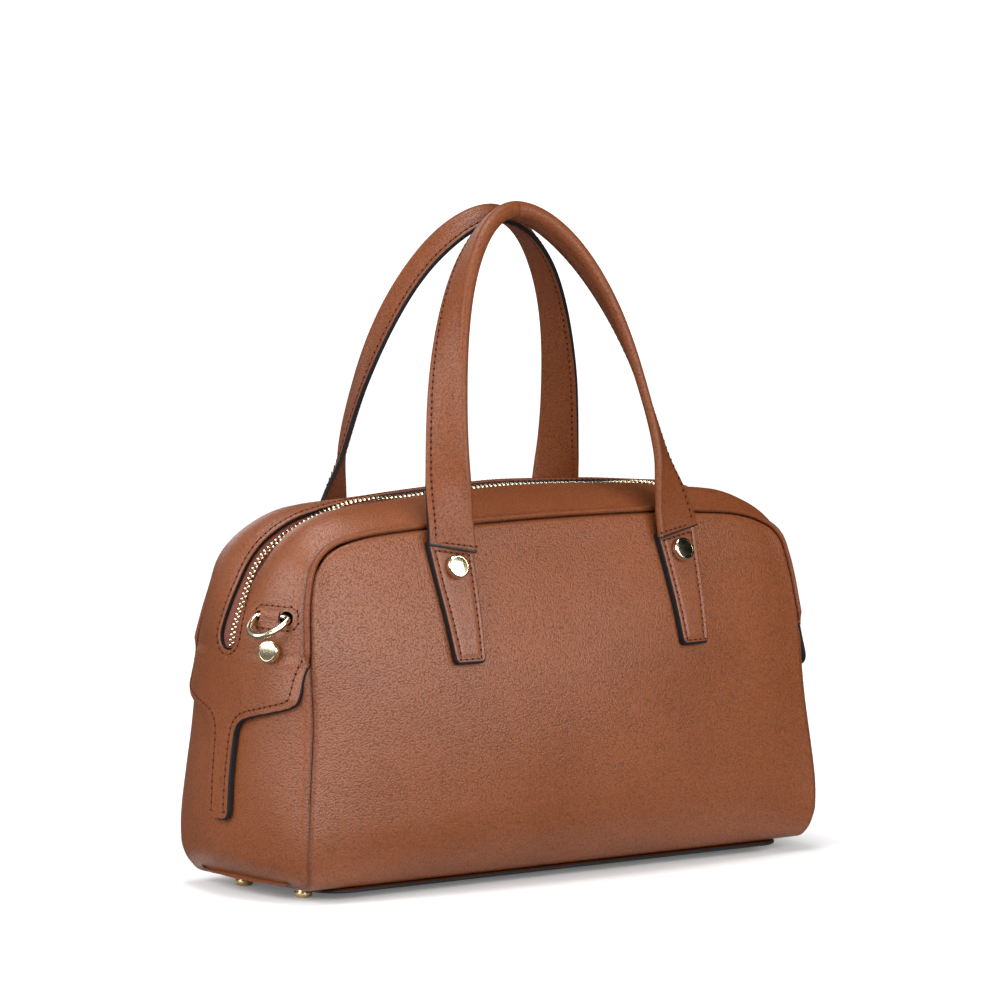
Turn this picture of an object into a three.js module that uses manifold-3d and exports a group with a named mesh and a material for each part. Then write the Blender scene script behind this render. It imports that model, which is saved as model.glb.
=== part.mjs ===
// A leather bowling bag: two puffed panels, a zipped top gusset whose ends are shaped flaps,
// two side gussets, two rolled handles, and polished metal studs, rings and feet.
// Millimetres, +Z up. X runs along the bag, the front faces -Y, and the feet stand on Z = 0.
import * as THREE from 'three';
import { mergeVertices } from 'three/addons/utils/BufferGeometryUtils.js';
import Module from 'manifold-3d';

const wasm = await Module();
wasm.setup();

// Walls and clearances
const GAP = 0.3;
const PANEL_WALL = 2.0;
const SIDE_WALL = 2.0;
const GUSSET_WALL = 2.8;
const FLAP_GAP = 0.5;
const TAPE_WALL = 0.8;
const TAB_WALL = 3.0;

// Seam: the panel ends short of the crease, the piping fills the corner, the gusset starts beyond it
const PANEL_INSET = 1.7;
const PIPING_RADIUS = 1.5;
const PIPING_SIDES = 6;
const PIPING_OUT = 0.3;
const PIPING_IN = 1.8;
const GUSSET_OUT = 1.0;
const GUSSET_IN = 3.8;

// The crease from the middle of the bottom, round the lower corner and up the right end
const LOWER_SEAM = [
  // x, depth from the middle, height
  [146.0, 0.3, 7.4],
  [146.0, 20.0, 7.0],
  [146.0, 36.0, 5.8],
  [146.3, 44.8, 6.8],
  [146.6, 48.9, 11.0],
  [146.7, 50.6, 17.0],
  [146.2, 51.5, 30.0],
  [144.8, 50.0, 50.0],
  [143.8, 48.5, 70.0],
  [143.4, 47.1, 90.0],
];

// The crease and the crown of the gusset, from the flap up round the shoulder to the middle of the top
const UPPER_SEAM = [
  // seam x, seam depth, seam height, crown x, crown height, swell between the seam and the zip
  [143.3, 45.2, 112.0, 157.2, 112.0, 0.0],
  [142.5, 44.0, 120.0, 155.8, 120.5, 0.4],
  [141.5, 42.4, 130.0, 152.2, 130.5, 1.0],
  [139.6, 40.9, 140.0, 147.0, 140.5, 2.4],
  [136.4, 39.6, 149.5, 140.7, 149.5, 3.8],
  [131.0, 37.8, 156.0, 132.6, 157.0, 5.0],
  [123.0, 37.0, 160.8, 122.6, 163.2, 5.2],
  [115.0, 37.8, 163.2, 113.6, 167.4, 4.8],
  [106.0, 38.6, 164.8, 104.9, 170.5, 4.2],
  [90.0, 39.6, 166.1, 90.0, 174.8, 3.0],
  [70.0, 40.2, 166.9, 70.0, 177.7, 2.0],
  [45.0, 40.7, 167.5, 45.0, 179.5, 1.5],
  [20.0, 41.0, 167.9, 20.0, 180.5, 1.3],
  [0.0, 41.0, 168.0, 0.0, 181.0, 1.3],
];
const FLAP_ROW = LOWER_SEAM.length;
const CORNER_ROW = FLAP_ROW + 5;
const TOP_ROW = FLAP_ROW + UPPER_SEAM.length - 1;
const CROWN_POWER = 2.4;

// How far the panel puffs out beyond its seam
const PANEL_PUFF = [
  // height, puff
  [5.2, 0.0],
  [11.0, 1.5],
  [17.0, 4.4],
  [30.0, 10.2],
  [50.0, 14.6],
  [70.0, 16.4],
  [90.0, 16.3],
  [104.0, 15.1],
  [120.0, 12.0],
  [135.0, 8.2],
  [148.0, 4.4],
  [158.0, 1.5],
  [168.0, 0.0],
];
const PUFF_POWER = 2.3;
const PANEL_ROWS = [0, 1, 2, 2.5, 3, 3.5, 4, 5, 6, 7, 8, 9, 10, 11, 12, 13, 14, CORNER_ROW];
const UPPER_ROWS = [15.5, 16, 17, 18, 19, 20, 21, 22, TOP_ROW];
const PANEL_COLUMNS = 12;
const TOP_LIFT_START_ROW = 8;
const PANEL_BOTTOM = 5.2;
const BOTTOM_ROWS = 4;
const BOTTOM_POWER = 8;

// Side gusset crown
const SIDE_CROWN = [
  // height, x
  [8.4, 147.2],
  [12.0, 151.0],
  [18.0, 154.2],
  [28.0, 156.4],
  [36.0, 157.0],
  [60.0, 156.8],
  [80.0, 155.9],
  [104.0, 154.4],
  [112.0, 154.0],
];
const SIDE_ROWS = [2, 2.5, 3, 3.5, 4, 5, 6, 7, 8, 9, 9.6];
const SIDE_COLUMNS = 8;

// Flap and tongue at each end of the top gusset
const FLAP = [
  // height, half width
  [35.7, 3.0],
  [36.4, 5.6],
  [38.2, 7.3],
  [41.0, 8.0],
  [58.0, 8.3],
  [73.0, 8.8],
  [78.0, 9.9],
  [81.0, 12.6],
  [82.8, 17.0],
  [84.8, 25.0],
  [86.8, 33.0],
  [88.6, 38.2],
  [91.0, 41.0],
  [95.0, 42.2],
  [101.0, 42.5],
  [106.5, 42.2],
];
const BAND_ROWS = [
  10.05, 10.17, 10.4, 10.9, 11.4, 12, 12.7, 13.4, 14, 14.6, 15.3, 16, 17, 18, 19, 20, 21, 22, TOP_ROW,
];
const HALF_BAND_COLUMNS = 4;
// Half widths of the slot at its round ends and along the run, and where it narrows from an end
const SLOT = { end: 7.2, run: 4.8, narrowsFrom: 7.2, narrowsTo: 36.0 };

// Zip
const TAPE_HALF_WIDTH = 11.0;
const CHAIN_HALF_WIDTH = 2.8;
const CHAIN_HEIGHT = 2.4;
const CHAIN_SUNK = 0.6;
const ZIP_FIRST_ROW = 2;
const SLIDER_ROW = 12.3;
const SLIDER = { width: 8.4, length: 11.0, thick: 1.8, corner: 3.0, lift: 0.45 };
const PULL = { width: 5.6, length: 16.0, thick: 1.2, corner: 2.6, lift: 0.6, overlap: 2.0 };
const NECK = { width: 2.4, length: 5.0, bite: 0.5 };

// Base plate and feet
const CORNER_SEGMENTS = 4;
const BASE = { halfLength: 136.5, halfWidth: 45.5, corner: 14.0, bottom: 3.2, thick: 1.7 };
const FOOT = { x: 132.0, y: 23.3 };
const FOOT_PROFILE = [
  // radius, height
  [0.0, 0.0],
  [2.8, 0.0],
  [3.7, 0.5],
  [4.0, 1.2],
  [4.0, BASE.bottom - GAP],
  [0.0, BASE.bottom - GAP],
];

// Handles: the line of half a handle, from its end on the front panel to the top
const HANDLE = {
  endX: 65.6,
  endY: -48.3,
  endZ: 156.4,
  leanInward: 3.0,
  leanBack: 11.5,
  endReach: 118.0,
  topReach: 21.0,
  topY: -7.4,
  topZ: 305.2,
  rawEdge: 1.2,
  endSlant: 9.0,
};
const STRAP = [
  // place along the half, width, radius of the rolled edge, turn in degrees
  [0.0, 25.0, 1.7, 5.0],
  [0.06, 22.0, 1.9, 28.0],
  [0.12, 20.2, 2.1, 46.0],
  [0.25, 18.6, 2.4, 56.0],
  [0.45, 17.0, 3.0, 80.0],
  [0.7, 15.6, 3.6, 102.0],
  [1.0, 13.0, 3.9, 118.0],
];
const STRAP_BELLY = { place: -0.25, share: 0.72 };
const ROLL_ANGLES = [-75, -35, 0, 35, 75];
const STRAP_STEPS = [0, 0.03, 0.06, 0.12, 0.18, 0.25, 0.33, 0.41, 0.49, 0.57, 0.66, 0.75, 0.84, 0.92, 1];

// Handle tabs and studs
const TAB = {
  topX: 65.7,
  topZ: 154.8,
  endX: 65.2,
  endZ: 104.6,
  topHalfWidth: 11.7,
  endHalfWidth: 7.7,
  slant: 0.169,
};
const TAB_ROWS = [
  // place along the tab, share of the width
  [0.0, 1.0],
  [0.15, 1.0],
  [0.35, 1.0],
  [0.55, 1.0],
  [0.75, 1.0],
  [0.92, 1.0],
  [0.975, 0.9],
  [1.0, 0.62],
];
const TAB_COLUMNS = 4;
const STUD_PLACE = { x: 65.3, z: 146.9 };
const STUD_SIDES = 12;
const STUD_PROFILE = [
  // share of the radius, share of the height
  [0.0, 0.0],
  [0.8, 0.0],
  [1.0, 0.4],
  [1.0, 0.62],
  [0.84, 1.0],
  [0.66, 0.9],
  [0.0, 0.9],
];
const HANDLE_STUD = { radius: 5.6, height: 3.5 };
const SIDE_STUD = { radius: 5.2, height: 3.7, row: 10.22, y: 28.2, lift: 1.1 };

// Strap rings: a bar held in a leather loop, and a bow that leans out over the side stud
const RING = {
  row: 11.95,
  y: 25.3,
  halfBar: 8.75,
  reach: 15.4,
  wire: 1.3,
  corner: 2.5,
  lean: 45.0,
  depth: 1.5,
};
const RING_SIDES = 8;
const RING_STEPS = 24;
const WINDOW = { halfLength: 10.6, halfHeight: 4.1, depth: 12.0 };
const KEEPER = {
  halfLength: 5.75,
  halfHeight: 3.7,
  top: 1.0,
  bottom: -4.2,
  bore: 1.65,
  easeDepth: 1.0,
  easeHeight: 1.5,
};
const BORE_SEGMENTS = 10;

const COLOURS = {
  leather: { color: 0x8f5437, roughness: 0.55, metalness: 0.0 },
  edge: { color: 0x1b1a1c, roughness: 0.5, metalness: 0.0 },
  tape: { color: 0x6e3426, roughness: 0.85, metalness: 0.0 },
  gold: { color: 0xe3cfa0, roughness: 0.18, metalness: 1.0 },
};

// Fineness of the working: points closer than this are one, and steps used to find a slope
const WELD = 0.001;
const ROW_STEP = 0.05;
const SLOPE_STEP = 0.5;
const SOLVE_ROUNDS = 40;
const LOWEST_UPRIGHT_ROW = 5;

// A smooth curve through a table of (place, value) rows
function smoothTable(rows, column = 1) {
  const slope = (i) => {
    const a = rows[Math.max(i - 1, 0)];
    const b = rows[Math.min(i + 1, rows.length - 1)];
    return (b[column] - a[column]) / (b[0] - a[0]);
  };
  return (place) => {
    let i = rows.length - 2;
    while (i > 0 && place < rows[i][0]) i -= 1;
    const span = rows[i + 1][0] - rows[i][0];
    const s = THREE.MathUtils.clamp((place - rows[i][0]) / span, 0, 1);
    const start = rows[i][column] * (1 + 2 * s) * (1 - s) ** 2 + slope(i) * span * s * (1 - s) ** 2;
    const end = rows[i + 1][column] * s * s * (3 - 2 * s) + slope(i + 1) * span * s * s * (s - 1);
    return start + end;
  };
}

// The place where a rising or falling function passes a wanted value
function solve(measure, wanted, low, high) {
  const rising = measure(high) > measure(low);
  for (let step = 0; step < SOLVE_ROUNDS; step += 1) {
    const middle = (low + high) / 2;
    if (measure(middle) < wanted === rising) low = middle;
    else high = middle;
  }
  return (low + high) / 2;
}

function geometryFrom(points, triangles) {
  const geometry = new THREE.BufferGeometry();
  const places = points.flatMap((p) => p.toArray());
  geometry.setAttribute('position', new THREE.Float32BufferAttribute(places, 3));
  geometry.setIndex(triangles.flat());
  return geometry;
}

// Turns the faces out where a mesh was made inside out
function outward(points, triangles) {
  const volume = triangles.reduce((sum, [a, b, c]) => {
    return sum + points[a].dot(new THREE.Vector3().crossVectors(points[b], points[c]));
  }, 0);
  return geometryFrom(points, volume < 0 ? triangles.map(([a, b, c]) => [a, c, b]) : triangles);
}

// A leather sheet: patches of rows of points on its outer face, given a wall on the inside
function sheet(patches, wall) {
  const points = [];
  const seen = new Map();
  const number = (p) => {
    const key = p.toArray().map((v) => Math.round(v / WELD)).join(' ');
    if (!seen.has(key)) {
      seen.set(key, points.length);
      points.push(p.clone());
    }
    return seen.get(key);
  };
  const faces = [];
  for (const rows of patches) {
    const grid = rows.map((row) => row.map(number));
    for (let r = 0; r + 1 < grid.length; r += 1) {
      for (let c = 0; c + 1 < grid[r].length; c += 1) {
        const [a, b, d, e] = [grid[r][c], grid[r][c + 1], grid[r + 1][c + 1], grid[r + 1][c]];
        faces.push([a, b, d], [a, d, e]);
      }
    }
  }
  const outer = faces.filter(([a, b, c]) => a !== b && b !== c && c !== a);
  const normals = points.map(() => new THREE.Vector3());
  const edges = new Map();
  for (const [a, b, c] of outer) {
    const ab = points[b].clone().sub(points[a]);
    const normal = ab.cross(points[c].clone().sub(points[a]));
    for (const [from, to] of [[a, b], [b, c], [c, a]]) {
      normals[from].add(normal);
      if (!edges.delete(`${to} ${from}`)) edges.set(`${from} ${to}`, [from, to]);
    }
  }
  const count = points.length;
  const inner = points.map((p, i) => p.clone().addScaledVector(normals[i].normalize(), -wall));
  const triangles = [...outer, ...outer.map(([a, b, c]) => [a + count, c + count, b + count])];
  for (const [from, to] of edges.values()) {
    triangles.push([from, from + count, to + count], [from, to + count, to]);
  }
  return geometryFrom([...points, ...inner], triangles);
}

// A solid through rings of points, closed into a loop or capped at both ends
function loft(rings, looped = false) {
  const sides = rings[0].length;
  const triangles = [];
  const last = looped ? rings.length : rings.length - 1;
  for (let r = 0; r < last; r += 1) {
    const next = (r + 1) % rings.length;
    for (let s = 0; s < sides; s += 1) {
      const t = (s + 1) % sides;
      const [a, b, c, d] = [r * sides + s, r * sides + t, next * sides + t, next * sides + s];
      triangles.push([a, b, c], [a, c, d]);
    }
  }
  if (!looped) {
    const end = (rings.length - 1) * sides;
    for (let s = 1; s + 1 < sides; s += 1) {
      triangles.push([0, s + 1, s], [end, end + s, end + s + 1]);
    }
  }
  return outward(rings.flat(), triangles);
}

function mirrored(geometry, signX, signY) {
  const copy = geometry.clone();
  copy.scale(signX, signY, 1);
  if (signX * signY < 0) {
    const index = Array.from(copy.getIndex().array);
    for (let i = 0; i < index.length; i += 3) [index[i + 1], index[i + 2]] = [index[i + 2], index[i + 1]];
    copy.setIndex(index);
  }
  return copy;
}

function toSolid(geometry) {
  const bare = geometry.clone();
  bare.deleteAttribute('normal');
  bare.deleteAttribute('uv');
  const welded = mergeVertices(bare, WELD);
  const vertProperties = new Float32Array(welded.getAttribute('position').array);
  const triVerts = new Uint32Array(welded.getIndex().array);
  return new wasm.Manifold(new wasm.Mesh({ numProp: 3, vertProperties, triVerts }));
}

function fromSolid(solid) {
  const mesh = solid.getMesh();
  const geometry = new THREE.BufferGeometry();
  geometry.setAttribute('position', new THREE.BufferAttribute(mesh.vertProperties, 3));
  geometry.setIndex(new THREE.BufferAttribute(mesh.triVerts, 1));
  return geometry;
}

// The ends of the bag, each with its turn about the middle, and its faces
const ENDS = [['right', 0], ['left', Math.PI]];
const FACES = [['front', 1], ['back', -1]];
const group = new THREE.Group();

function addPiece(name, geometry, finish) {
  const piece = new THREE.Mesh(geometry, new THREE.MeshStandardMaterial(COLOURS[finish]));
  piece.name = name;
  group.add(piece);
  return piece;
}

// The front seam from the middle of the bottom on the right, over the top, to the left
const seamHalf = [...LOWER_SEAM, ...UPPER_SEAM].map(([x, depth, z]) => new THREE.Vector3(x, -depth, z));
const mirrorX = (p) => new THREE.Vector3(-p.x, p.y, p.z);
const thereAndBack = (half) => [...half, ...half.slice(0, -1).reverse().map(mirrorX)];
const seamCurve = new THREE.CatmullRomCurve3(thereAndBack(seamHalf));
const crownHalf = UPPER_SEAM.map((row) => new THREE.Vector3(row[3], 0, row[4]));
const bandSwell = smoothTable(UPPER_SEAM.map((row, i) => [FLAP_ROW + i, row[5]]));
const crownCurve = new THREE.CatmullRomCurve3(thereAndBack(crownHalf));

// A place on the seam with the directions out of the panel's edge and into the bag
function seamFrame(row) {
  const t = row / (2 * TOP_ROW);
  const point = seamCurve.getPoint(t);
  const along = seamCurve.getTangent(t);
  const end = row < TOP_ROW ? 1 : -1;
  const straight = Math.abs(row - TOP_ROW) > TOP_ROW - FLAP_ROW;
  const out = straight ? new THREE.Vector3(end, 0, 0) : new THREE.Vector3(along.z, 0, -along.x);
  out.normalize();
  const into = new THREE.Vector3().crossVectors(along, out).normalize();
  return { point, out, into };
}

function besideSeam(row, out, into) {
  const frame = seamFrame(row);
  return frame.point.addScaledVector(frame.out, out).addScaledVector(frame.into, into);
}

// Front panel
const panelPuff = smoothTable(PANEL_PUFF);
const panelCorner = besideSeam(CORNER_ROW, -PANEL_INSET, 0);

function panelPoint(across, row) {
  const edge = besideSeam(row, -PANEL_INSET, 0);
  const x = Math.abs(across) * panelCorner.x;
  const topRow = solve((r) => besideSeam(r, -PANEL_INSET, 0).x, x, CORNER_ROW, TOP_ROW);
  const top = besideSeam(topRow, -PANEL_INSET, 0);
  const lift = THREE.MathUtils.smoothstep(row, TOP_LIFT_START_ROW, CORNER_ROW);
  const sag = Math.max(0, 1 - row / BOTTOM_ROWS) * (1 - Math.abs(across) ** BOTTOM_POWER);
  const z = THREE.MathUtils.lerp(edge.z, PANEL_BOTTOM, sag) + lift * (top.z - panelCorner.z);
  const puff = panelPuff(z) * (1 - Math.abs(across) ** PUFF_POWER);
  return new THREE.Vector3(across * edge.x, edge.y + lift * (top.y - panelCorner.y) - puff, z);
}

// The panel's surface over a place in the front view, with its outward direction
function panelAt(x, z) {
  const pointAt = (px, pz) => {
    const acrossAt = (row) => px / besideSeam(row, -PANEL_INSET, 0).x;
    const row = solve((r) => panelPoint(acrossAt(r), r).z, pz, LOWEST_UPRIGHT_ROW, CORNER_ROW);
    return panelPoint(acrossAt(row), row);
  };
  const point = pointAt(x, z);
  const alongX = pointAt(x + SLOPE_STEP, z).sub(point);
  const alongZ = pointAt(x, z + SLOPE_STEP).sub(point);
  return { point, normal: alongX.cross(alongZ).normalize() };
}

function frontPanel() {
  const columns = Array.from({ length: PANEL_COLUMNS + 1 }, (_, c) => {
    return Math.sin((c / PANEL_COLUMNS - 0.5) * Math.PI);
  });
  return sheet([PANEL_ROWS.map((row) => columns.map((across) => panelPoint(across, row)))], PANEL_WALL);
}

function frontPiping() {
  const rightRows = [...PANEL_ROWS, ...UPPER_ROWS];
  const rows = [...rightRows, ...rightRows.slice(0, -1).reverse().map((row) => 2 * TOP_ROW - row)];
  const rings = rows.map((row) => Array.from({ length: PIPING_SIDES }, (_, s) => {
    const angle = (s / PIPING_SIDES) * 2 * Math.PI;
    const [out, into] = [PIPING_RADIUS * Math.cos(angle), PIPING_RADIUS * Math.sin(angle)];
    return besideSeam(row, PIPING_OUT + out, PIPING_IN + into);
  }));
  return loft(rings);
}

function bareGeometry(geometry) {
  geometry.deleteAttribute('normal');
  geometry.deleteAttribute('uv');
  return geometry;
}

// Right side gusset
const sideCrown = smoothTable(SIDE_CROWN);

function sidePoint(y, edge) {
  const rise = 1 - Math.abs(y / edge.y) ** CROWN_POWER;
  return new THREE.Vector3(edge.x + (sideCrown(edge.z) - edge.x) * rise, y, edge.z);
}

function rightSide() {
  const rows = SIDE_ROWS.map((row) => {
    const edge = besideSeam(row, GUSSET_OUT, GUSSET_IN);
    return Array.from({ length: SIDE_COLUMNS + 1 }, (_, c) => {
      return sidePoint(edge.y * (1 - (2 * c) / SIDE_COLUMNS), edge);
    });
  });
  return sheet([rows], SIDE_WALL);
}

// Top gusset with its flaps
function flapPoint(y, z) {
  const pointAt = (py, pz) => {
    const row = solve((r) => seamFrame(r).point.z, pz, LOWEST_UPRIGHT_ROW, FLAP_ROW);
    const edge = besideSeam(row, GUSSET_OUT, GUSSET_IN);
    edge.z = pz;
    return sidePoint(py, edge);
  };
  const point = pointAt(y, z);
  const alongY = pointAt(y + SLOPE_STEP, z).sub(pointAt(y - SLOPE_STEP, z));
  const alongZ = pointAt(y, z + SLOPE_STEP).sub(point);
  return point.addScaledVector(alongY.cross(alongZ).normalize(), GUSSET_WALL + FLAP_GAP);
}

function bandPoint(row, y) {
  const edge = besideSeam(row, GUSSET_OUT, GUSSET_IN);
  const crown = crownCurve.getPoint((row - FLAP_ROW) / (2 * (TOP_ROW - FLAP_ROW)));
  const share = Math.abs(y / edge.y);
  const swell = 4 * share * (1 - share) * bandSwell(Math.min(row, 2 * TOP_ROW - row));
  const point = edge.lerp(crown, 1 - share ** CROWN_POWER).addScaledVector(seamFrame(row).out, swell);
  point.y = y;
  return point;
}

function bandFrame(row, y) {
  const point = bandPoint(row, y);
  const up = bandPoint(row + ROW_STEP, y).sub(bandPoint(row - ROW_STEP, y)).normalize();
  const across = bandPoint(row, y + SLOPE_STEP).sub(bandPoint(row, y - SLOPE_STEP)).normalize();
  const normal = new THREE.Vector3().crossVectors(across, up).normalize();
  return { point, normal, across, up: new THREE.Vector3().crossVectors(normal, across) };
}

function slotHalfWidth(row) {
  const fromEnd = bandPoint(row, 0).distanceTo(bandPoint(BAND_ROWS[0], 0));
  if (fromEnd < SLOT.end) return Math.sqrt(SLOT.end ** 2 - (SLOT.end - fromEnd) ** 2);
  const narrowed = THREE.MathUtils.smoothstep(fromEnd, SLOT.narrowsFrom, SLOT.narrowsTo);
  return THREE.MathUtils.lerp(SLOT.end, SLOT.run, narrowed);
}

function topGusset() {
  const spread = (inside, outside, place) => Array.from({ length: HALF_BAND_COLUMNS + 1 }, (_, c) => {
    return place(inside + ((outside - inside) * c) / HALF_BAND_COLUMNS);
  });
  const flapRows = FLAP.map(([z, halfWidth]) => spread(0, halfWidth, (y) => flapPoint(y, z)));
  const bandRows = BAND_ROWS.map((row) => {
    const outside = Math.abs(besideSeam(row, GUSSET_OUT, GUSSET_IN).y);
    return spread(slotHalfWidth(row), outside, (y) => bandPoint(row, y));
  });
  const rightRows = [...flapRows, ...bandRows];
  const leftRows = rightRows.slice(0, -1).reverse().map((row) => row.map(mirrorX));
  const backRows = [...rightRows, ...leftRows];
  const frontRows = backRows.map((row) => row.map((p) => new THREE.Vector3(p.x, -p.y, p.z)).reverse());
  return sheet([frontRows, backRows], GUSSET_WALL);
}

// A strip along the zip, sunk below the outside of the gusset
function zipStrip(halfWidth, sunk, wall) {
  const rightRows = BAND_ROWS.slice(ZIP_FIRST_ROW).map((row) => [-halfWidth, 0, halfWidth].map((y) => {
    const { point, normal } = bandFrame(row, y);
    return point.addScaledVector(normal, -sunk);
  }));
  const leftRows = rightRows.slice(0, -1).reverse().map((row) => row.map(mirrorX));
  return sheet([[...rightRows, ...leftRows]], wall);
}

function extruded(shape, depth, curveSegments) {
  return new THREE.ExtrudeGeometry(shape, { depth, bevelEnabled: false, curveSegments });
}

// A flat piece with rounded corners, centred on the origin
function roundedPlate(width, length, corner, thick) {
  const [w, l] = [width / 2, length / 2];
  const shape = new THREE.Shape();
  shape.moveTo(-w + corner, -l);
  shape.absarc(w - corner, -l + corner, corner, -Math.PI / 2, 0);
  shape.absarc(w - corner, l - corner, corner, 0, Math.PI / 2);
  shape.absarc(-w + corner, l - corner, corner, Math.PI / 2, Math.PI);
  shape.absarc(-w + corner, -l + corner, corner, Math.PI, 1.5 * Math.PI);
  return extruded(shape, thick, CORNER_SEGMENTS);
}

function zipSlider() {
  const body = roundedPlate(SLIDER.width, SLIDER.length, SLIDER.corner, SLIDER.thick);
  const neck = new THREE.BoxGeometry(NECK.width, NECK.length, PULL.lift + 2 * NECK.bite);
  neck.translate(0, 0, SLIDER.thick + PULL.lift / 2);
  const pull = roundedPlate(PULL.width, PULL.length, PULL.corner, PULL.thick);
  pull.translate(0, PULL.overlap - PULL.length / 2, SLIDER.thick + PULL.lift);
  return fromSolid(toSolid(body).add(toSolid(neck)).add(toSolid(pull)));
}

// Handles: a folded strap with one rolled edge, turned as it rises
const strapWidth = smoothTable(STRAP, 1);
const strapRoll = smoothTable(STRAP, 2);
const strapTurn = smoothTable(STRAP, 3);

function strapRing(curve, t) {
  const centre = curve.getPoint(t);
  const along = curve.getTangent(t);
  const back = new THREE.Vector3(0, 1, 0);
  back.addScaledVector(along, -along.y).normalize();
  const outside = new THREE.Vector3().crossVectors(back, along);
  const turn = THREE.MathUtils.degToRad(strapTurn(t));
  const toRoll = outside.multiplyScalar(-Math.cos(turn)).addScaledVector(back, -Math.sin(turn));
  const face = new THREE.Vector3().crossVectors(along, toRoll);
  const [half, roll] = [strapWidth(t) / 2, strapRoll(t)];
  const belly = [half * STRAP_BELLY.place, roll * STRAP_BELLY.share];
  const outline = [[-half, -HANDLE.rawEdge], [belly[0], -belly[1]]];
  for (const degrees of ROLL_ANGLES) {
    const angle = THREE.MathUtils.degToRad(degrees);
    outline.push([half - roll + roll * Math.cos(angle), roll * Math.sin(angle)]);
  }
  outline.push(belly, [-half, HANDLE.rawEdge]);
  const slant = t === 0 ? Math.tan(THREE.MathUtils.degToRad(HANDLE.endSlant)) : 0;
  return outline.map(([w, n]) => {
    const place = centre.clone().addScaledVector(toRoll, w).addScaledVector(face, n);
    return place.addScaledVector(along, -slant * w);
  });
}

function frontHandle() {
  const inward = THREE.MathUtils.degToRad(HANDLE.leanInward);
  const back = THREE.MathUtils.degToRad(HANDLE.leanBack);
  const rise = new THREE.Vector3(-Math.tan(inward), Math.sin(back), Math.cos(back)).normalize();
  const end = new THREE.Vector3(HANDLE.endX, HANDLE.endY, HANDLE.endZ);
  const top = new THREE.Vector3(0, HANDLE.topY, HANDLE.topZ);
  const curve = new THREE.CubicBezierCurve3(
    end,
    end.clone().addScaledVector(rise, HANDLE.endReach),
    top.clone().add(new THREE.Vector3(HANDLE.topReach, 0, 0)),
    top,
  );
  const half = STRAP_STEPS.map((t) => strapRing(curve, t));
  const otherHalf = half.slice(0, -1).reverse().map((ring) => ring.map(mirrorX));
  return loft([...half, ...otherHalf]);
}

// Tabs that hold the handles
function frontRightTab() {
  const rows = TAB_ROWS.map(([along, share]) => {
    const x = THREE.MathUtils.lerp(TAB.topX, TAB.endX, along);
    const z = THREE.MathUtils.lerp(TAB.topZ, TAB.endZ, along);
    const half = share * THREE.MathUtils.lerp(TAB.topHalfWidth, TAB.endHalfWidth, along);
    const slant = TAB.slant * (1 - along) ** 2;
    return Array.from({ length: TAB_COLUMNS + 1 }, (_, c) => {
      const across = half * ((2 * c) / TAB_COLUMNS - 1);
      const { point, normal } = panelAt(x + across, z + across * slant);
      return point.addScaledVector(normal, GAP + TAB_WALL);
    });
  });
  return sheet([rows.reverse()], TAB_WALL);
}

// A turned metal piece whose base lies on its own XY plane, standing along +Z
function turned(profile) {
  const geometry = new THREE.LatheGeometry(profile.map(([r, z]) => new THREE.Vector2(r, z)), STUD_SIDES);
  return mergeVertices(bareGeometry(geometry.rotateX(Math.PI / 2)));
}

const stud = ({ radius, height }) => turned(STUD_PROFILE.map(([r, z]) => [r * radius, z * height]));

// Strap ring: bar along its own Y, bow reaching along its own -Z
function dRing() {
  const { halfBar, reach, corner, wire } = RING;
  const path = new THREE.Path();
  path.moveTo(-halfBar + corner, 0);
  path.lineTo(halfBar - corner, 0);
  path.absarc(halfBar - corner, -corner, corner, Math.PI / 2, 0, true);
  path.absellipse(0, -corner, halfBar, reach - corner, 0, -Math.PI, true);
  path.absarc(-halfBar + corner, -corner, corner, Math.PI, Math.PI / 2, true);
  const places = path.getSpacedPoints(RING_STEPS).slice(0, -1);
  const rings = places.map((place, i) => {
    const before = places[(i + places.length - 1) % places.length];
    const after = places[(i + 1) % places.length];
    const along = after.clone().sub(before).normalize();
    return Array.from({ length: RING_SIDES }, (_, s) => {
      const angle = (s / RING_SIDES) * 2 * Math.PI;
      const [side, face] = [wire * Math.cos(angle), wire * Math.sin(angle)];
      return new THREE.Vector3(face, place.x - along.y * side, place.y + along.x * side);
    });
  });
  return loft(rings, true);
}

// Leather loop round the bar, lengthwise along its own Y, with the bar at its own origin
function ringKeeper() {
  const { halfLength, halfHeight, bore, easeDepth, easeHeight } = KEEPER;
  const [top, bottom] = [KEEPER.top + RING.depth, KEEPER.bottom + RING.depth];
  const outline = new THREE.Shape();
  outline.moveTo(bottom, -halfHeight);
  outline.lineTo(top - easeDepth, -halfHeight);
  outline.lineTo(top, -halfHeight + easeHeight);
  outline.lineTo(top, halfHeight - easeHeight);
  outline.lineTo(top - easeDepth, halfHeight);
  outline.lineTo(bottom, halfHeight);
  outline.holes.push(new THREE.Path().absarc(0, 0, bore, 0, 2 * Math.PI));
  const loop = extruded(outline, 2 * halfLength, BORE_SEGMENTS);
  return loop.translate(0, 0, -halfLength).rotateX(-Math.PI / 2);
}

// A frame on the right end of the gusset: X out of the leather, Y across, Z up
function placeOnEnd(row, y, rise) {
  const frame = bandFrame(row, y);
  const place = new THREE.Group();
  place.position.copy(frame.point).addScaledVector(frame.normal, rise);
  const axes = new THREE.Matrix4().makeBasis(frame.normal, frame.across, frame.up);
  place.quaternion.setFromRotationMatrix(axes);
  return place;
}

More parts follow.
